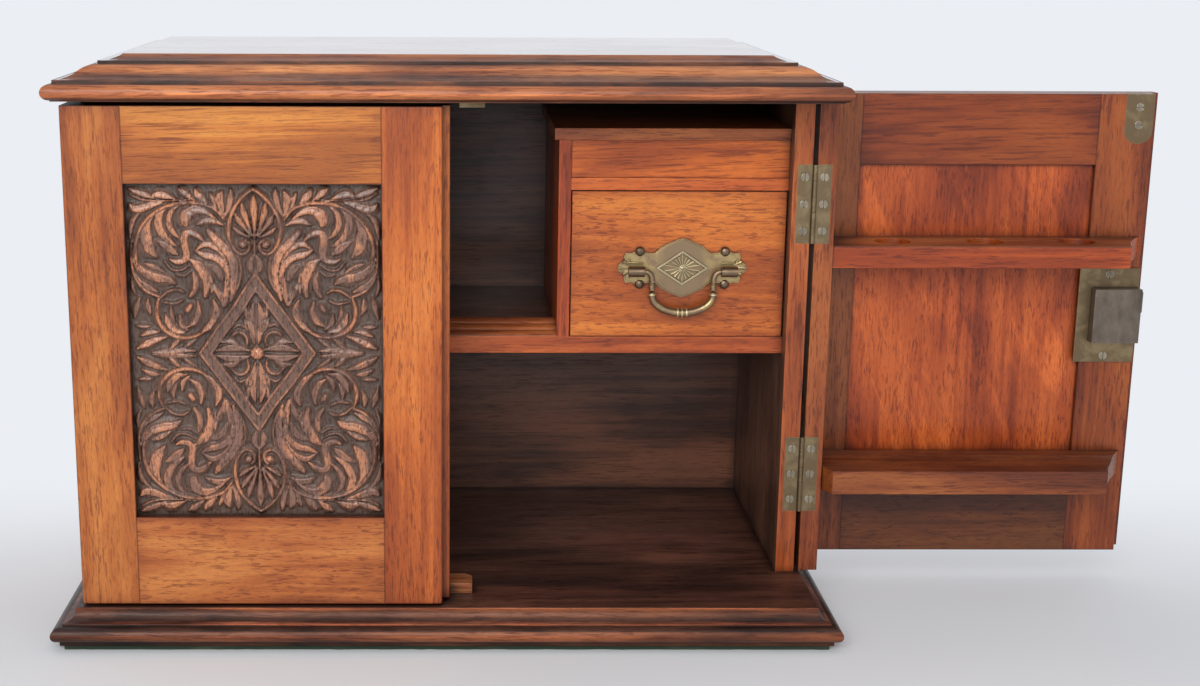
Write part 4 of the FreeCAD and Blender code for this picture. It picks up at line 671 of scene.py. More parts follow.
def carving_height(right, up):
    """Height of the whole carving, as a share of the full rise, at places in millimetres."""
    wander = panel_noise(right, up, WANDER_SCALE, 3.1)
    side = np.abs(right + WANDER[0] * wander)
    level = np.abs(up - WANDER[1] * wander)
    height = np.zeros(right.shape)
    bed = np.zeros(right.shape)
    for kind, share, points in STROKES:
        reach = 2.0 * max(point[2] for point in points) + 0.5
        lows = [min(point[i] for point in points) - reach for i in (0, 1)]
        highs = [max(point[i] for point in points) + reach for i in (0, 1)]
        near = (side > lows[0]) & (side < highs[0]) & (level > lows[1]) & (level < highs[1])
        new = stroke_height(side[near], level[near], kind, share, points)
        old = height[near]
        spread = nearest(side[near], level[near], points, BED_NARROWEST)[0]
        slope = BED_SHARE * share * np.clip(1.0 - (spread / BED_SPREAD) ** 2, 0.0, 1.0)
        bed[near] = np.maximum(bed[near], slope)
        seam = np.exp(-((old - new) / SEAM_WIDTH) ** 2) * np.minimum(old, new)
        height[near] = np.maximum(old, new) - SEAM_DEPTH * seam
    height = np.maximum(height, bed)
    outer, inner = LOZENGE
    out = side / outer[0] + level / outer[1]
    height = np.where((out > 1.0) & (out < MOAT_EDGE), np.minimum(height, MOAT_SHARE), height)
    height = np.where((out < 1.0) & (side / inner[0] + level / inner[1] > 1.0), BAND_SHARE, height)
    for wide, high, share in LOZENGE:
        away = np.abs(side * high + level * wide - wide * high) / math.hypot(wide, high) / LOZENGE_LINE
        height = np.maximum(height, share * np.sqrt(np.clip(1.0 - away ** 2, 0.0, 1.0)))
    boss = np.hypot(right, up) / FLOWER_RADIUS
    petals = 1.0 - 0.16 * (1.0 + np.cos(FLOWER_PETALS * np.arctan2(up, right))) * np.clip(boss, 0.2, 1.0)
    height = np.maximum(height, np.sqrt(np.clip(1.0 - boss ** 2, 0.0, 1.0)) * petals)
    marks = panel_noise(right, up, GOUGE_SCALE, 0.0)
    return np.clip(height + GOUGE_MARKS * marks * (1.0 - 0.5 * height) + GROUND_SHARE, 0.0, 1.0)


# The panel's tongue: its reach into the frame, and its two faces measured back from the highest carving.
PANEL_TONGUE = 7.6 * MM
TONGUE_FACES = (0.0059, 0.0117)
# The carving fades out over a margin in millimetres. The sides behind it have an even relief.
CARVING_MARGIN = 1.2
SIDE_RELIEF = 0.55
BACK_OAK = 1


def carved_panel(name, node, body, outward, seed):
    """A carved panel with its tongue: outward is -1 or 1 along Y, the way its carving faces."""
    carving = bpy.context.scene.cabinet_carving
    low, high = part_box(node)
    middle = (low + high) / 2
    half_x = (high.x - low.x) / 2 - PANEL_TONGUE
    half_z = (high.z - low.z) / 2 - PANEL_TONGUE
    front = low.y if outward < 0 else high.y
    back = high.y if outward < 0 else low.y
    ground = front - outward * carving.rise
    bm = bmesh.new()
    relief = bm.verts.layers.float.new("relief")
    columns = int(round(2 * half_x / carving.pitch))
    rows = int(round(2 * half_z / carving.pitch))
    bmesh.ops.create_grid(bm, x_segments=columns, y_segments=rows, size=1.0)
    turn = Matrix.Rotation(math.radians(-90 * outward), 4, "X")
    bmesh.ops.transform(bm, matrix=turn @ Matrix.Diagonal((half_x, half_z, 1.0, 1.0)), verts=bm.verts)
    bmesh.ops.translate(bm, vec=Vector((middle.x, ground, middle.z)), verts=bm.verts)
    right = np.array([vert.co.x - middle.x for vert in bm.verts]) / MM
    up = np.array([vert.co.z - middle.z for vert in bm.verts]) / MM
    heights = carving_height(right, up)
    margin = np.minimum(half_x / MM - np.abs(right), half_z / MM - np.abs(up))
    heights = heights * np.clip(margin / CARVING_MARGIN, 0.0, 1.0)
    for vert, height in zip(bm.verts, heights):
        vert.co.y += outward * carving.rise * height
        vert[relief] = height
    inner = [vert for vert in bm.verts if not vert.is_boundary]
    bmesh.ops.smooth_vert(bm, verts=inner, factor=0.35, use_axis_y=True)
    rim = [edge for edge in bm.edges if edge.is_boundary]
    upper, lower = (front - outward * depth for depth in TONGUE_FACES)
    steps = [(0.0, upper), (PANEL_TONGUE, upper), (PANEL_TONGUE, lower), (0.0, lower), (0.0, back)]
    grown = 0.0
    for reach, depth in steps:
        made = bmesh.ops.extrude_edge_only(bm, edges=rim)["geom"]
        rim = [part for part in made if isinstance(part, bmesh.types.BMEdge) and part.is_boundary]
        for face in [part for part in made if isinstance(part, bmesh.types.BMFace)]:
            face.material_index = BACK_OAK
        for vert in [part for part in made if isinstance(part, bmesh.types.BMVert)]:
            vert.co.x = middle.x + (vert.co.x - middle.x) * (half_x + reach) / (half_x + grown)
            vert.co.z = middle.z + (vert.co.z - middle.z) * (half_z + reach) / (half_z + grown)
            vert.co.y = depth
            vert[relief] = SIDE_RELIEF
        grown = reach
    bmesh.ops.edgeloop_fill(bm, edges=rim, mat_nr=BACK_OAK)
    bmesh.ops.recalc_face_normals(bm, faces=bm.faces)
    plain = oak_material(name + "_back_oak", "Z", "red", shade=(1.30, 1.22, 1.15), seed=seed + 1,
                         flame=0.60, dash=(130.0, 900.0))
    return piece_from(bm, name, [carved_material(name + "_oak", seed), plain], body, node,
                      math.radians(75))


# Upper right quarter of the handle plate's edge, in millimetres from its middle.
PLATE_EDGE = [(0.0, 17.0), (3.8, 15.6), (7.6, 14.0), (11.9, 11.8), (13.8, 9.8), (15.8, 8.3), (18.5, 8.4),
              (20.9, 8.7), (21.4, 10.6), (23.0, 11.8), (24.8, 11.8), (26.4, 10.6), (26.9, 8.8), (28.8, 8.2),
              (31.8, 8.5), (32.8, 6.0), (32.0, 3.7), (34.0, 3.0), (35.6, 2.0), (36.4, 0.0)]
# Places and sizes on the plate, in millimetres.
PLATE_BOSS = (23.9, 9.2)
PLATE_POST = 26.0
LOZENGE_PLATE = (14.6, 9.8)
RIBS = 18
RIB_RADII = (0.30, 0.62)
# Angle in degrees and reach of each flute on the plate's ends.
FLUTES = [(-52.0, 7.0), (-26.0, 8.0), (0.0, 9.4), (26.0, 8.0), (52.0, 7.0)]
FLUTE_RADII = (0.6, 1.2)
BOSS_RADII = (2.8, 1.7, 2.8)
BUTTON_RADII = (1.5, 0.9, 1.4)
LEDGE = (8.4, 1.6, 0.9)
# Which of the plate's materials a face has.
RELIEF_BRASS = 1
BOSS_BRASS = 2


def set_down(bm, made, middle):
    """Carry new parts, drawn in millimetres with Y as depth, to their place on the drawer."""
    bmesh.ops.scale(bm, vec=(MM, MM, MM), verts=made)
    bmesh.ops.translate(bm, vec=middle, verts=made)


def raised(bm, face, height, rim, sink):
    """Lift a face off the plate, and sink its field inside a rim."""
    made = bmesh.ops.extrude_face_region(bm, geom=[face])["geom"]
    lifted = [part for part in made if isinstance(part, bmesh.types.BMVert)]
    bmesh.ops.translate(bm, vec=(0.0, -height, 0.0), verts=lifted)
    top = [part for part in made if isinstance(part, bmesh.types.BMFace)]
    edge = bmesh.ops.inset_region(bm, faces=top, thickness=rim, depth=0.0, use_even_offset=True)["faces"]
    bmesh.ops.inset_region(bm, faces=top, thickness=0.25, depth=-sink, use_even_offset=True)
    return edge, top


def paint(verts, index):
    """Give the faces round some vertices another of the piece's materials."""
    for face in {face for vert in verts for face in vert.link_faces}:
        face.material_index = index


def fluted(bm, start, angle, first, last, radii, depth):
    """A flattened tapering rib that runs out from a point in the plate's plane."""
    along = Matrix.Rotation(-angle, 4, "Y") @ Matrix.Rotation(math.radians(90), 4, "Y")
    place = Matrix.Translation((start[0], depth, start[1]))
    slide = Matrix.Translation((0.0, 0.0, (first + last) / 2))
    return bmesh.ops.create_cone(bm, cap_ends=True, segments=8, radius1=radii[0], radius2=radii[1],
                                 depth=last - first, matrix=place @ along @ slide)["verts"]


def dome(bm, place, radii):
    """A low dome on the plate."""
    return bmesh.ops.create_uvsphere(bm, u_segments=16, v_segments=10, radius=1.0,
                                     matrix=place @ Matrix.Diagonal((*radii, 1.0)))["verts"]


def handle_plate():
    """The drawer handle's stamped plate: raised edge, ribbed lozenge, bosses, fluted ends and ledges."""
    low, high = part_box("handle_backplate")
    middle = Vector(((low.x + high.x) / 2, high.y, (low.z + high.z) / 2))
    bm = bmesh.new()
    corners = [bm.verts.new((x, 0.0, z)) for x, z in [(0.0, 0.0)] + PLATE_EDGE]
    bm.faces.new(corners)
    for axis in ("X", "Z"):
        bmesh.ops.mirror(bm, geom=bm.verts[:] + bm.edges[:] + bm.faces[:], axis=axis, merge_dist=1e-4)
    bmesh.ops.recalc_face_normals(bm, faces=bm.faces)
    sheet = bmesh.ops.dissolve_faces(bm, faces=bm.faces[:])["region"][0]
    raised(bm, sheet, height=1.3, rim=0.7, sink=0.35)
    diamond = bmesh.ops.create_circle(bm, cap_ends=True, segments=4, radius=1.0,
                                      matrix=Matrix.Translation((0.0, -0.9, 0.0))
                                      @ Matrix.Diagonal((LOZENGE_PLATE[0], 1.0, LOZENGE_PLATE[1], 1.0))
                                      @ Matrix.Rotation(math.radians(90), 4, "X"))["verts"]
    rim, field = raised(bm, diamond[0].link_faces[0], height=1.5, rim=1.0, sink=1.2)
    for faces, index in ((rim, RELIEF_BRASS), (field, BOSS_BRASS)):
        for face in faces:
            face.material_index = index
    for i in range(RIBS):
        angle = 2.0 * math.pi * (i + 0.5) / RIBS
        corner = abs(math.cos(angle)) / LOZENGE_PLATE[0] + abs(math.sin(angle)) / LOZENGE_PLATE[1]
        reach = 1.0 / corner - 1.6
        paint(fluted(bm, (0.0, 0.0), angle, first=0.8, last=reach, radii=RIB_RADII, depth=-1.6), RELIEF_BRASS)
    for side in (-1, 1):
        for degrees, reach in FLUTES:
            angle = math.radians(degrees) if side > 0 else math.pi - math.radians(degrees)
            fluted(bm, (side * PLATE_POST, 0.0), angle, first=3.4, last=reach, radii=FLUTE_RADII, depth=-1.1)
        for level in (-1, 1):
            place = Matrix.Translation((side * PLATE_BOSS[0], -1.0, level * PLATE_BOSS[1]))
            paint(dome(bm, place, BOSS_RADII), BOSS_BRASS)
        place = Matrix.Translation((side * PLATE_POST, -1.6, 2.9))
        ledge = bmesh.ops.create_cube(bm, size=1.0, matrix=place @ Matrix.Diagonal((*LEDGE, 1.0)))["verts"]
        bmesh.ops.bevel(bm, geom=list({edge for vert in ledge for edge in vert.link_edges}), offset=0.3,
                        segments=2, profile=0.5, affect="EDGES", material=-1)
    paint(dome(bm, Matrix.Translation((0.0, -1.5, 0.0)), BUTTON_RADII), RELIEF_BRASS)
    set_down(bm, bm.verts[:], middle)
    bmesh.ops.recalc_face_normals(bm, faces=bm.faces)
    metal = bpy.context.scene.cabinet_metal
    gilt, film = tuple(metal.gilt), tuple(metal.film)
    stamped = brass_material("handle_plate_brass", 120, gilt, film, 0.8, middle.x)
    # The ribs, rims and button take a paler brass: rubbed, partly a painted highlight.
    rubbed = brass_material("handle_relief_brass", 121, tuple(metal.rubbed), times(metal.rubbed, 0.8), 0.9)
    heads = brass_material("handle_boss_brass", 122, film, times(film, 0.5), 0.4)
    return piece_from(bm, "handle_plate", [stamped, rubbed, heads], "drawer", "handle_backplate",
                      math.radians(50))


# Right half of the bail's middle line, in millimetres from the pivot: right, up and thickness radius.
BAIL_LINE = [(29.4, 0.0, 1.40), (25.0, 0.0, 1.40), (21.2, 0.0, 1.42), (19.6, -0.4, 1.5), (18.1, -1.7, 1.55),
             (17.3, -4.2, 1.6), (17.2, -8.0, 1.65), (17.2, -13.0, 1.8), (16.2, -16.8, 1.95),
             (13.4, -19.7, 2.1), (9.0, -22.0, 2.2), (4.5, -23.2, 2.25), (0.0, -23.6, 2.25)]
BAIL_RINGS = [(-2.5, -23.4), (0.0, -23.6), (2.5, -23.4)]
BAIL_COLLARS = [(-17.2, -13.0), (17.2, -13.0)]
# Radius and width of a ring and of a collar, and how far the bail hangs below its pivot.
RING_SIZE = (2.75, 1.15)
COLLAR_SIZE = (2.3, 1.2)
BAIL_DROP = 25.9
RING_BRASS = 1


def collar(bm, x, z, radius, width, lean):
    """A ring with rounded edges around the bail's wire."""
    place = Matrix.Translation((x, 0.0, z)) @ Matrix.Rotation(lean, 4, "Y")
    made = bmesh.ops.create_cone(bm, cap_ends=True, segments=20, radius1=radius, radius2=radius,
                                 depth=width, matrix=place)["verts"]
    edges = {edge for vert in made for edge in vert.link_edges if len(edge.link_faces[0].verts) > 4
             or len(edge.link_faces[1].verts) > 4}
    return bmesh.ops.bevel(bm, geom=list(edges), offset=0.3, segments=2, profile=0.5, affect="EDGES",
                           material=-1)["verts"]


def handle_bail():
    """The drawer handle's bail: a wire that swells to its grip, with rings and a collar on each arm."""
    low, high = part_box("handle_bail")
    middle = Vector(((low.x + high.x) / 2, (low.y + high.y) / 2, low.z + BAIL_DROP * MM))
    bm = bmesh.new()
    line = smooth_path(BAIL_LINE + [(-x, z, r) for x, z, r in reversed(BAIL_LINE[:-1])], 4)
    ring = bmesh.ops.create_circle(bm, segments=16, radius=1.0)["verts"]
    rim = bm.edges[:]
    for i, (x, z, radius) in enumerate(line):
        ahead = line[min(i + 1, len(line) - 1)] - line[max(i - 1, 0)]
        turn = Vector((ahead[0], 0.0, ahead[1])).to_track_quat("Z", "Y").to_matrix().to_4x4()
        if i:
            made = bmesh.ops.extrude_edge_only(bm, edges=rim)["geom"]
            ring = [part for part in made if isinstance(part, bmesh.types.BMVert)]
            rim = [part for part in made if isinstance(part, bmesh.types.BMEdge) and part.is_boundary]
        else:
            home = [vert.co.copy() for vert in ring]
        for vert, place in zip(ring, home):
            vert.co = Vector((x, 0.0, z)) + turn @ (place * radius)
    bmesh.ops.holes_fill(bm, edges=bm.edges[:])
    for x, z in BAIL_RINGS:
        paint(collar(bm, x, z, *RING_SIZE, math.radians(90)), RING_BRASS)
    for x, z in BAIL_COLLARS:
        paint(collar(bm, x, z, *COLLAR_SIZE, 0.0), RING_BRASS)
    set_down(bm, bm.verts[:], middle)
    bmesh.ops.recalc_face_normals(bm, faces=bm.faces)
    metal = bpy.context.scene.cabinet_metal
    gilt = tuple(metal.gilt)
    wire = brass_material("handle_bail_brass", 140, gilt, tuple(metal.film), 0.35)
    # The rings and collars take a much paler brass as a painted highlight, partly rubbed.
    rings = brass_material("handle_ring_brass", 141, times(metal.rubbed, 1.4), gilt, 1.0)
    return piece_from(bm, "handle_grip", [wire, rings], "bail", "handle_bail", math.radians(50))


def baize_cloth():
    """The cloth under the base: a thin felted sheet with a slightly ragged edge."""
    low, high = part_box("baize_pad")
    middle = (low + high) / 2
    bm = bmesh.new()
    bmesh.ops.create_grid(bm, x_segments=84, y_segments=48, size=1.0)
    spread = Matrix.Diagonal(((high.x - low.x) / 2, (high.y - low.y) / 2, 1.0, 1.0))
    bmesh.ops.transform(bm, matrix=Matrix.Translation((middle.x, middle.y, low.z)) @ spread, verts=bm.verts)
    for vert in [vert for vert in bm.verts if vert.is_boundary]:
        fray = 0.6 * MM * (1.0 + noise.noise(vert.co * 260.0))
        inward = (middle - vert.co).to_2d().normalized() * fray
        vert.co.x += inward.x
        vert.co.y += inward.y
    made = bmesh.ops.extrude_face_region(bm, geom=bm.faces[:])["geom"]
    upper = [part for part in made if isinstance(part, bmesh.types.BMVert)]
    bmesh.ops.translate(bm, vec=(0.0, 0.0, high.z - low.z), verts=upper)
    bmesh.ops.recalc_face_normals(bm, faces=bm.faces)
    cloth = piece_from(bm, "baize_cloth", [baize_material("baize")], "case", "baize_pad")
    return cloth


TENON = 8.0 * MM


def face_of(node, tenon=0.0):
    """The box of a board's face, without the tenons at its ends."""
    low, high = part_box(node)
    step = Vector((tenon, 0.0, 0.0))
    return low + step, high - step


# Painted shade, partly grime, in the hollows and under the beads, and painted highlights, partly wear, on the
# arrises and upper curves of the mouldings: low and high in millimetres over the floor, share and tint.
# Tint of the painted shade, partly grime, in the hollows.
GRIME_AND_SHADE = (0.20, 0.20, 0.20)
BASE_COURSES = [
    (15.4, 20.4, 0.70, (0.34, 0.36, 0.38)),
    (12.6, 14.2, 1.0, GRIME_AND_SHADE),
    (14.5, 15.2, 1.0, (4.6, 3.7, 3.2)),
    (9.6, 10.4, 0.5, (2.6, 2.4, 2.3)),
    (2.0, 6.4, 0.9, GRIME_AND_SHADE),
    (21.2, 21.7, 0.8, (2.6, 2.2, 2.0)),
]
CORNICE_COURSES = [
    (305.9, 308.4, 1.0, GRIME_AND_SHADE),
    (301.2, 302.2, 0.8, (1.9, 1.9, 2.0)),
    (296.0, 298.7, 0.8, (0.4, 0.35, 0.33)),
]
TOP_COURSES = [
    (307.0, 310.6, 0.85, (0.36, 0.37, 0.40)),
    (311.6, 314.8, 1.0, (1.55, 1.60, 1.40)),
    (315.1, 316.9, 1.0, GRIME_AND_SHADE),
    (317.0, 318.8, 0.7, (0.45, 0.38, 0.33)),
]


# Boards of a door: grain, shade outside, shade inside, and what else the finish has.
DOOR_BOARDS = {
    # The hinge stile's inside is darker with the painted shadow of the return.
    "hinge_stile": ("Z", (0.76, 0.73, 0.80), (0.63, 0.82, 0.95), dict(dash=(95.0, 900.0))),
    "meeting_stile": ("Z", (0.94, 0.80, 0.76), (0.88, 0.97, 0.95), dict(dash=(95.0, 900.0))),
    "top_rail": ("X", (1.0, 1.12, 1.0), (0.77, 0.74, 0.60), dict(wave=0.2, dash=(26.0, 820.0))),
    # The bottom rail's inside is darker: partly a darker board, partly the painted shadow of the pipe rest.
    "bottom_rail": ("X", (0.84, 0.86, 1.10), (0.42, 0.60, 0.68), dict(wave=0.7, dash=(110.0, 800.0))),
    "return": ("Z", 1.0, (0.89, 1.06, 1.25), dict(dash=(95.0, 900.0))),
}


def finishes():
    """How every oak board is finished: its grain, its colours outside and inside, and its polish."""
    found = {
        "base_board": dict(axis="X", outside="dark", inside="dim", faces=("Z", 1),
                           inside_shade=(0.57, 0.65, 0.80), specular=0.25, coat=0.05, shade_shelter_range=(0.95, 0.45),
                           shade=(1.15, 1.10, 1.0), courses=BASE_COURSES),
        "cornice_board": dict(axis="X", outside="brown", inside="dim", faces=("Z", -1), shade_shelter_range=(0.95, 0.45),
                              shade=(1.12, 1.0, 0.82), courses=CORNICE_COURSES),
        "top_board": dict(axis="X", outside="brown", polished=True, shade_shelter_range=(0.95, 0.45),
                          courses=TOP_COURSES),
        "left_side": dict(axis="Z", outside="golden", inside="dim", faces=("X", 1)),
        "right_side": dict(axis="Z", outside="red", inside="dim", faces=("X", -1), dash=(60.0, 600.0),
                           shade=(1.16, 1.35, 1.44), inside_shade=(1.05, 1.40, 1.60)),
        "back_panel": dict(axis="X", outside="brown", inside="dim", faces=("Y", -1),
                           inside_shade=(0.82, 0.88, 0.90)),
        "shelf": dict(axis="X", outside="red", inside="dim", faces=("Z", 1), shade=(1.31, 1.31, 1.15)),
        "shelf_lip": dict(axis="X", outside="brown", shade=(1.25, 1.10, 0.90)),
        "drawer_divider": dict(axis="Z", outside="red", shade=(1.25, 1.05, 0.84)),
        "drawer_case_top": dict(axis="X", outside="red", shade=(1.15, 1.50, 1.65)),
        "drawer_frieze": dict(axis="X", outside="golden", shade=(1.14, 0.88, 0.56), wave=0.4,
                              dash=(28.0, 620.0)),
        "drawer_rail": dict(axis="X", outside="golden", shade=(0.94, 0.62, 0.53)),
        "door_stop_block": dict(axis="X", outside="brown"),
        "drawer_front": dict(axis="X", outside="golden", edge=face_of("drawer_front"), wave=0.6,
                             shade=(1.04, 0.92, 0.73), dash=(130.0, 820.0)),
        "drawer_left_side": dict(axis="Y", outside="brown"),
        "drawer_right_side": dict(axis="Y", outside="brown"),
        "drawer_back": dict(axis="X", outside="brown"),
        "drawer_bottom": dict(axis="Y", outside="brown"),
    }
    for side, way in (("left", 1), ("right", -1)):
        for part, (grain, shade, inside_shade, others) in DOOR_BOARDS.items():
            node = side + "_" + part
            found[node] = dict(axis=grain, outside="golden", inside="red", faces=("Y", way), shade=shade,
                               inside_shade=inside_shade, **others)
            if part != "return":
                found[node]["edge"] = face_of(node, TENON if grain == "X" else 0.0)
        found[side + "_hinge_stile"]["flame"] = -0.20 * way
        # The rack's front is painted lighter, as painted light, and a wider shelter paints shade into its
        # holes and its corner against the door.
        found[side + "_pipe_rack"] = dict(axis="X", outside="red", inside="red", faces=("Z", 1),
                                          shade=(1.75, 1.70, 1.35), inside_shade=(0.95, 1.45, 2.20),
                                          shade_shelter_range=(0.97, 0.55), reach=20.0 * MM)
        # The rest's top is painted darker, as painted shade.
        found[side + "_pipe_rest"] = dict(axis="X", outside="red", inside="red", faces=("Z", 1),
                                          shade=(0.83, 1.10, 1.35), inside_shade=(0.49, 0.66, 1.0))
    return found


HINGES = ["hinge_case_leaves", "left_hinge_door_leaves", "right_hinge_door_leaves", "hinge_pins"]
PLATES = ["lock_plate", "keyhole_escutcheon", "escutcheon_pins", "catch_plate", "left_bolt_plate",
          "left_bolt", "top_stop"]
DULL_PLATES = ["catch_plate"]
HANDLE = ["handle_nuts", "handle_posts"]
STEEL = ["hinge_case_screws", "left_hinge_door_screws", "right_hinge_door_screws", "lock_screws",
         "catch_plate_screws", "top_stop_screws", "left_bolt_screws"]
DARK = ["lock_case", "lock_bolt"]


class CABINET_OT_oak(bpy.types.Operator):
    """Finish every oak board of the case, the drawer and the doors"""
    bl_idname = "cabinet.oak"
    bl_label = "Oak Boards"

    def execute(self, context):
        for seed, (node, finish) in enumerate(finishes().items(), 1):
            dress(node, oak_material(node + "_oak", seed=seed, **finish))
        return {"FINISHED"}


class CABINET_OT_metalwork(bpy.types.Operator):
    """Finish the hinges, the lock, the bolts and the screws"""
    bl_idname = "cabinet.metalwork"
    bl_label = "Metalwork"

    def execute(self, context):
        metal = context.scene.cabinet_metal
        brass, tarnish, film = tuple(metal.brass), tuple(metal.tarnish), tuple(metal.film)
        for seed, node in enumerate(HINGES + PLATES, 101):
            shine = 0.3 if node in DULL_PLATES else 0.5
            dress(node, brass_material(node + "_brass", seed, brass, tarnish, shine))
        for seed, node in enumerate(HANDLE, 130):
            dress(node, brass_material(node + "_brass", seed, film, times(film, 0.7), 0.3))
        handle_plate()
        handle_bail()
        for seed, node in enumerate(STEEL, 201):
            dress(node, dark_metal_material(node + "_steel", tuple(metal.steel), seed, 0.9))
        for seed, node in enumerate(DARK, 301):
            dress(node, dark_metal_material(node + "_bronze", tuple(metal.bronze), seed, 0.75))
        return {"FINISHED"}


class CABINET_OT_carved_panels(bpy.types.Operator):
    """Carve both door panels"""
    bl_idname = "cabinet.carved_panels"
    bl_label = "Carved Panels"

    def execute(self, context):
        carved_panel("left_carving", "left_carved_panel", "left_door", -1, 11)
        carved_panel("right_carving", "right_carved_panel", "right_door", 1, 12)
        return {"FINISHED"}


class CABINET_OT_baize(bpy.types.Operator):
    """Lay the baize under the base"""
    bl_idname = "cabinet.baize"
    bl_label = "Baize"

    def execute(self, context):
        baize_cloth()
        return {"FINISHED"}


# Soft lamps: place, target and size in metres, and colour.
LAMPS = {
    "key": ((-0.34, -1.72, 0.95), (0.0, 0.0, 0.14), (1.4, 1.0), (1.0, 0.985, 0.96)),
    "fill": ((1.35, -1.25, 0.75), (0.1, 0.0, 0.15), (1.2, 1.2), (0.95, 0.97, 1.0)),
    "top": ((0.0, -0.3, 1.9), (0.0, -0.1, 0.0), (2.0, 2.0), (0.97, 0.98, 1.0)),
}
SENSOR_WIDTH = 36.0
FRAME_SHIFT = (0.1076, -0.0079)


def area_lamp(name, place, target, size, colour, power):
    """A soft rectangular lamp, turned to its target."""
    lamp = bpy.data.lights.new(name, "AREA")
    lamp.shape = "RECTANGLE"
    lamp.size, lamp.size_y = size
    lamp.energy = power
    lamp.color = colour
    holder = bpy.data.objects.new(name, lamp)
    holder.location = place
    holder.rotation_mode = "QUATERNION"
    holder.rotation_quaternion = (Vector(target) - Vector(place)).to_track_quat("-Z", "Y")
    bpy.context.scene.collection.objects.link(holder)


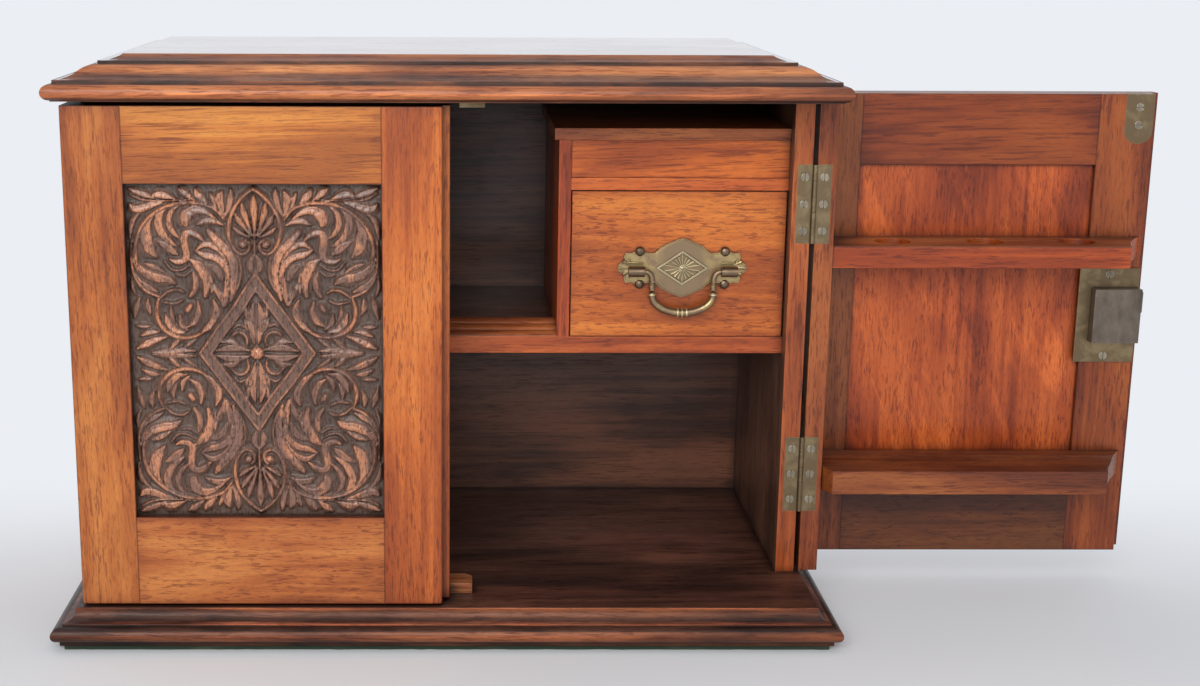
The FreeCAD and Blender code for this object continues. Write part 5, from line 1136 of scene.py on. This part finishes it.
class CABINET_OT_stage(bpy.types.Operator):
    """Set up the camera, the pale floor and the soft light"""
    bl_idname = "cabinet.stage"
    bl_label = "Stage"

    def execute(self, context):
        stage = context.scene.cabinet_stage
        self.camera(context.scene, stage)
        self.floor(stage)
        self.world(context.scene, stage)
        for name, lamp in LAMPS.items():
            area_lamp(name + "_lamp", *lamp, getattr(stage, name + "_power"))
        context.scene.view_settings.view_transform = "Standard"
        return {"FINISHED"}

    def camera(self, scene, stage):
        """The photograph's viewpoint and frame."""
        data = bpy.data.cameras.new("camera")
        data.sensor_width = SENSOR_WIDTH
        data.lens = stage.focal_length
        data.shift_x, data.shift_y = FRAME_SHIFT
        holder = bpy.data.objects.new("camera", data)
        level = math.cos(stage.pitch)
        forward = Vector((math.sin(stage.yaw) * level, math.cos(stage.yaw) * level, -math.sin(stage.pitch)))
        holder.rotation_mode = "QUATERNION"
        lean = Matrix.Rotation(-stage.roll, 3, forward).to_quaternion()
        holder.rotation_quaternion = lean @ forward.to_track_quat("-Z", "Y")
        holder.location = stage.eye
        scene.collection.objects.link(holder)
        scene.camera = holder

    def floor(self, stage):
        """A floor that runs into the pale wall behind the cabinet."""
        bm = bmesh.new()
        bmesh.ops.create_grid(bm, x_segments=8, y_segments=8, size=6.0)
        data = bpy.data.meshes.new("floor")
        bm.to_mesh(data)
        bm.free()
        bench = Bench("floor_paper")
        grain = bench.noise(bench.stretched((300.0, 300.0, 300.0)), 3.0)
        paths = bench.add("ShaderNodeLightPath")
        seen = bench.calc("MAXIMUM", paths.outputs["Is Camera Ray"], paths.outputs["Is Glossy Ray"])
        away = bench.add("ShaderNodeVectorMath", {0: bench.where.outputs["Object"]}, operation="LENGTH")
        away = away.outputs["Value"]
        behind = bench.levels(bench.place("Y"), -0.14, 0.20)
        far = bench.calc("MAXIMUM", behind, bench.levels(away, 0.55, 1.6))
        wall = bench.calc("MULTIPLY", far, seen)
        bench.bump(grain, 0.05 * MM, 0.2)
        bench.finish(Base_Color=(*stage.near_floor, 1.0), Roughness=0.7, Specular_IOR_Level=0.1)
        glow = bench.add("ShaderNodeEmission", {"Color": (*stage.backdrop, 1.0)})
        both = bench.add("ShaderNodeMixShader", {0: wall, 1: bench.shader.outputs["BSDF"],
                                                 2: glow.outputs["Emission"]})
        bench.tree.links.new(both.outputs["Shader"], bench.output.inputs["Surface"])
        data.materials.append(bench.material)
        floor = bpy.data.objects.new("floor", data)
        bpy.context.scene.collection.objects.link(floor)

    def world(self, scene, stage):
        """A pale room: as bright as the wall to the camera, and darker in reflections of its near side."""
        world = bpy.data.worlds.new("pale_room")
        world.use_nodes = True
        tree = world.node_tree
        paths = tree.nodes.new("ShaderNodeLightPath")
        where = tree.nodes.new("ShaderNodeTexCoord")
        parts = tree.nodes.new("ShaderNodeSeparateXYZ")
        tree.links.new(where.outputs["Generated"], parts.inputs["Vector"])
        mirrored = tree.nodes.new("ShaderNodeMapRange")
        tree.links.new(parts.outputs["Y"], mirrored.inputs["Value"])
        for socket, value in (("From Min", -0.25), ("From Max", 0.25), ("To Min", 0.40)):
            mirrored.inputs[socket].default_value = value
        level = stage.room
        for ray, strength in (("Is Glossy Ray", mirrored.outputs["Result"]), ("Is Camera Ray", 1.0)):
            choice = tree.nodes.new("ShaderNodeMix")
            tree.links.new(paths.outputs[ray], choice.inputs[0])
            feed(tree, choice.inputs[2], level)
            feed(tree, choice.inputs[3], strength)
            level = choice.outputs[0]
        backdrop = tree.nodes["Background"]
        backdrop.inputs["Color"].default_value = (*stage.backdrop, 1.0)
        tree.links.new(level, backdrop.inputs["Strength"])
        scene.world = world


class CABINET_PT_making(bpy.types.Panel):
    """Lists the steps that dress the cabinet"""
    bl_idname = "CABINET_PT_making"
    bl_label = "Carved Cabinet"
    bl_space_type = "VIEW_3D"
    bl_region_type = "UI"
    bl_category = "Cabinet"

    def draw(self, context):
        for step in STEPS:
            self.layout.operator(step.bl_idname)
        for group in SCENE_GROUPS:
            box = self.layout.box()
            settings = getattr(context.scene, group)
            for name in settings.__annotations__:
                box.prop(settings, name)


STEPS = (CABINET_OT_oak, CABINET_OT_metalwork, CABINET_OT_carved_panels, CABINET_OT_baize, CABINET_OT_stage)
GROUPS = (OakFinish, Carving, Metalwork, Stage)


def register():
    """Add the settings, the steps and the panel."""
    for kind in GROUPS + STEPS + (CABINET_PT_making,):
        bpy.utils.register_class(kind)
    for name, kind in zip(SCENE_GROUPS, GROUPS):
        setattr(bpy.types.Scene, name, bpy.props.PointerProperty(type=kind))


def unregister():
    """Take the panel, the steps and the settings out again."""
    for name in SCENE_GROUPS:
        delattr(bpy.types.Scene, name)
    for kind in reversed(GROUPS + STEPS + (CABINET_PT_making,)):
        bpy.utils.unregister_class(kind)


def main():
    """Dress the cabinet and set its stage."""
    register()
    bpy.ops.cabinet.oak()
    bpy.ops.cabinet.metalwork()
    bpy.ops.cabinet.carved_panels()
    bpy.ops.cabinet.baize()
    bpy.ops.cabinet.stage()


if __name__ == "__main__":
    main()
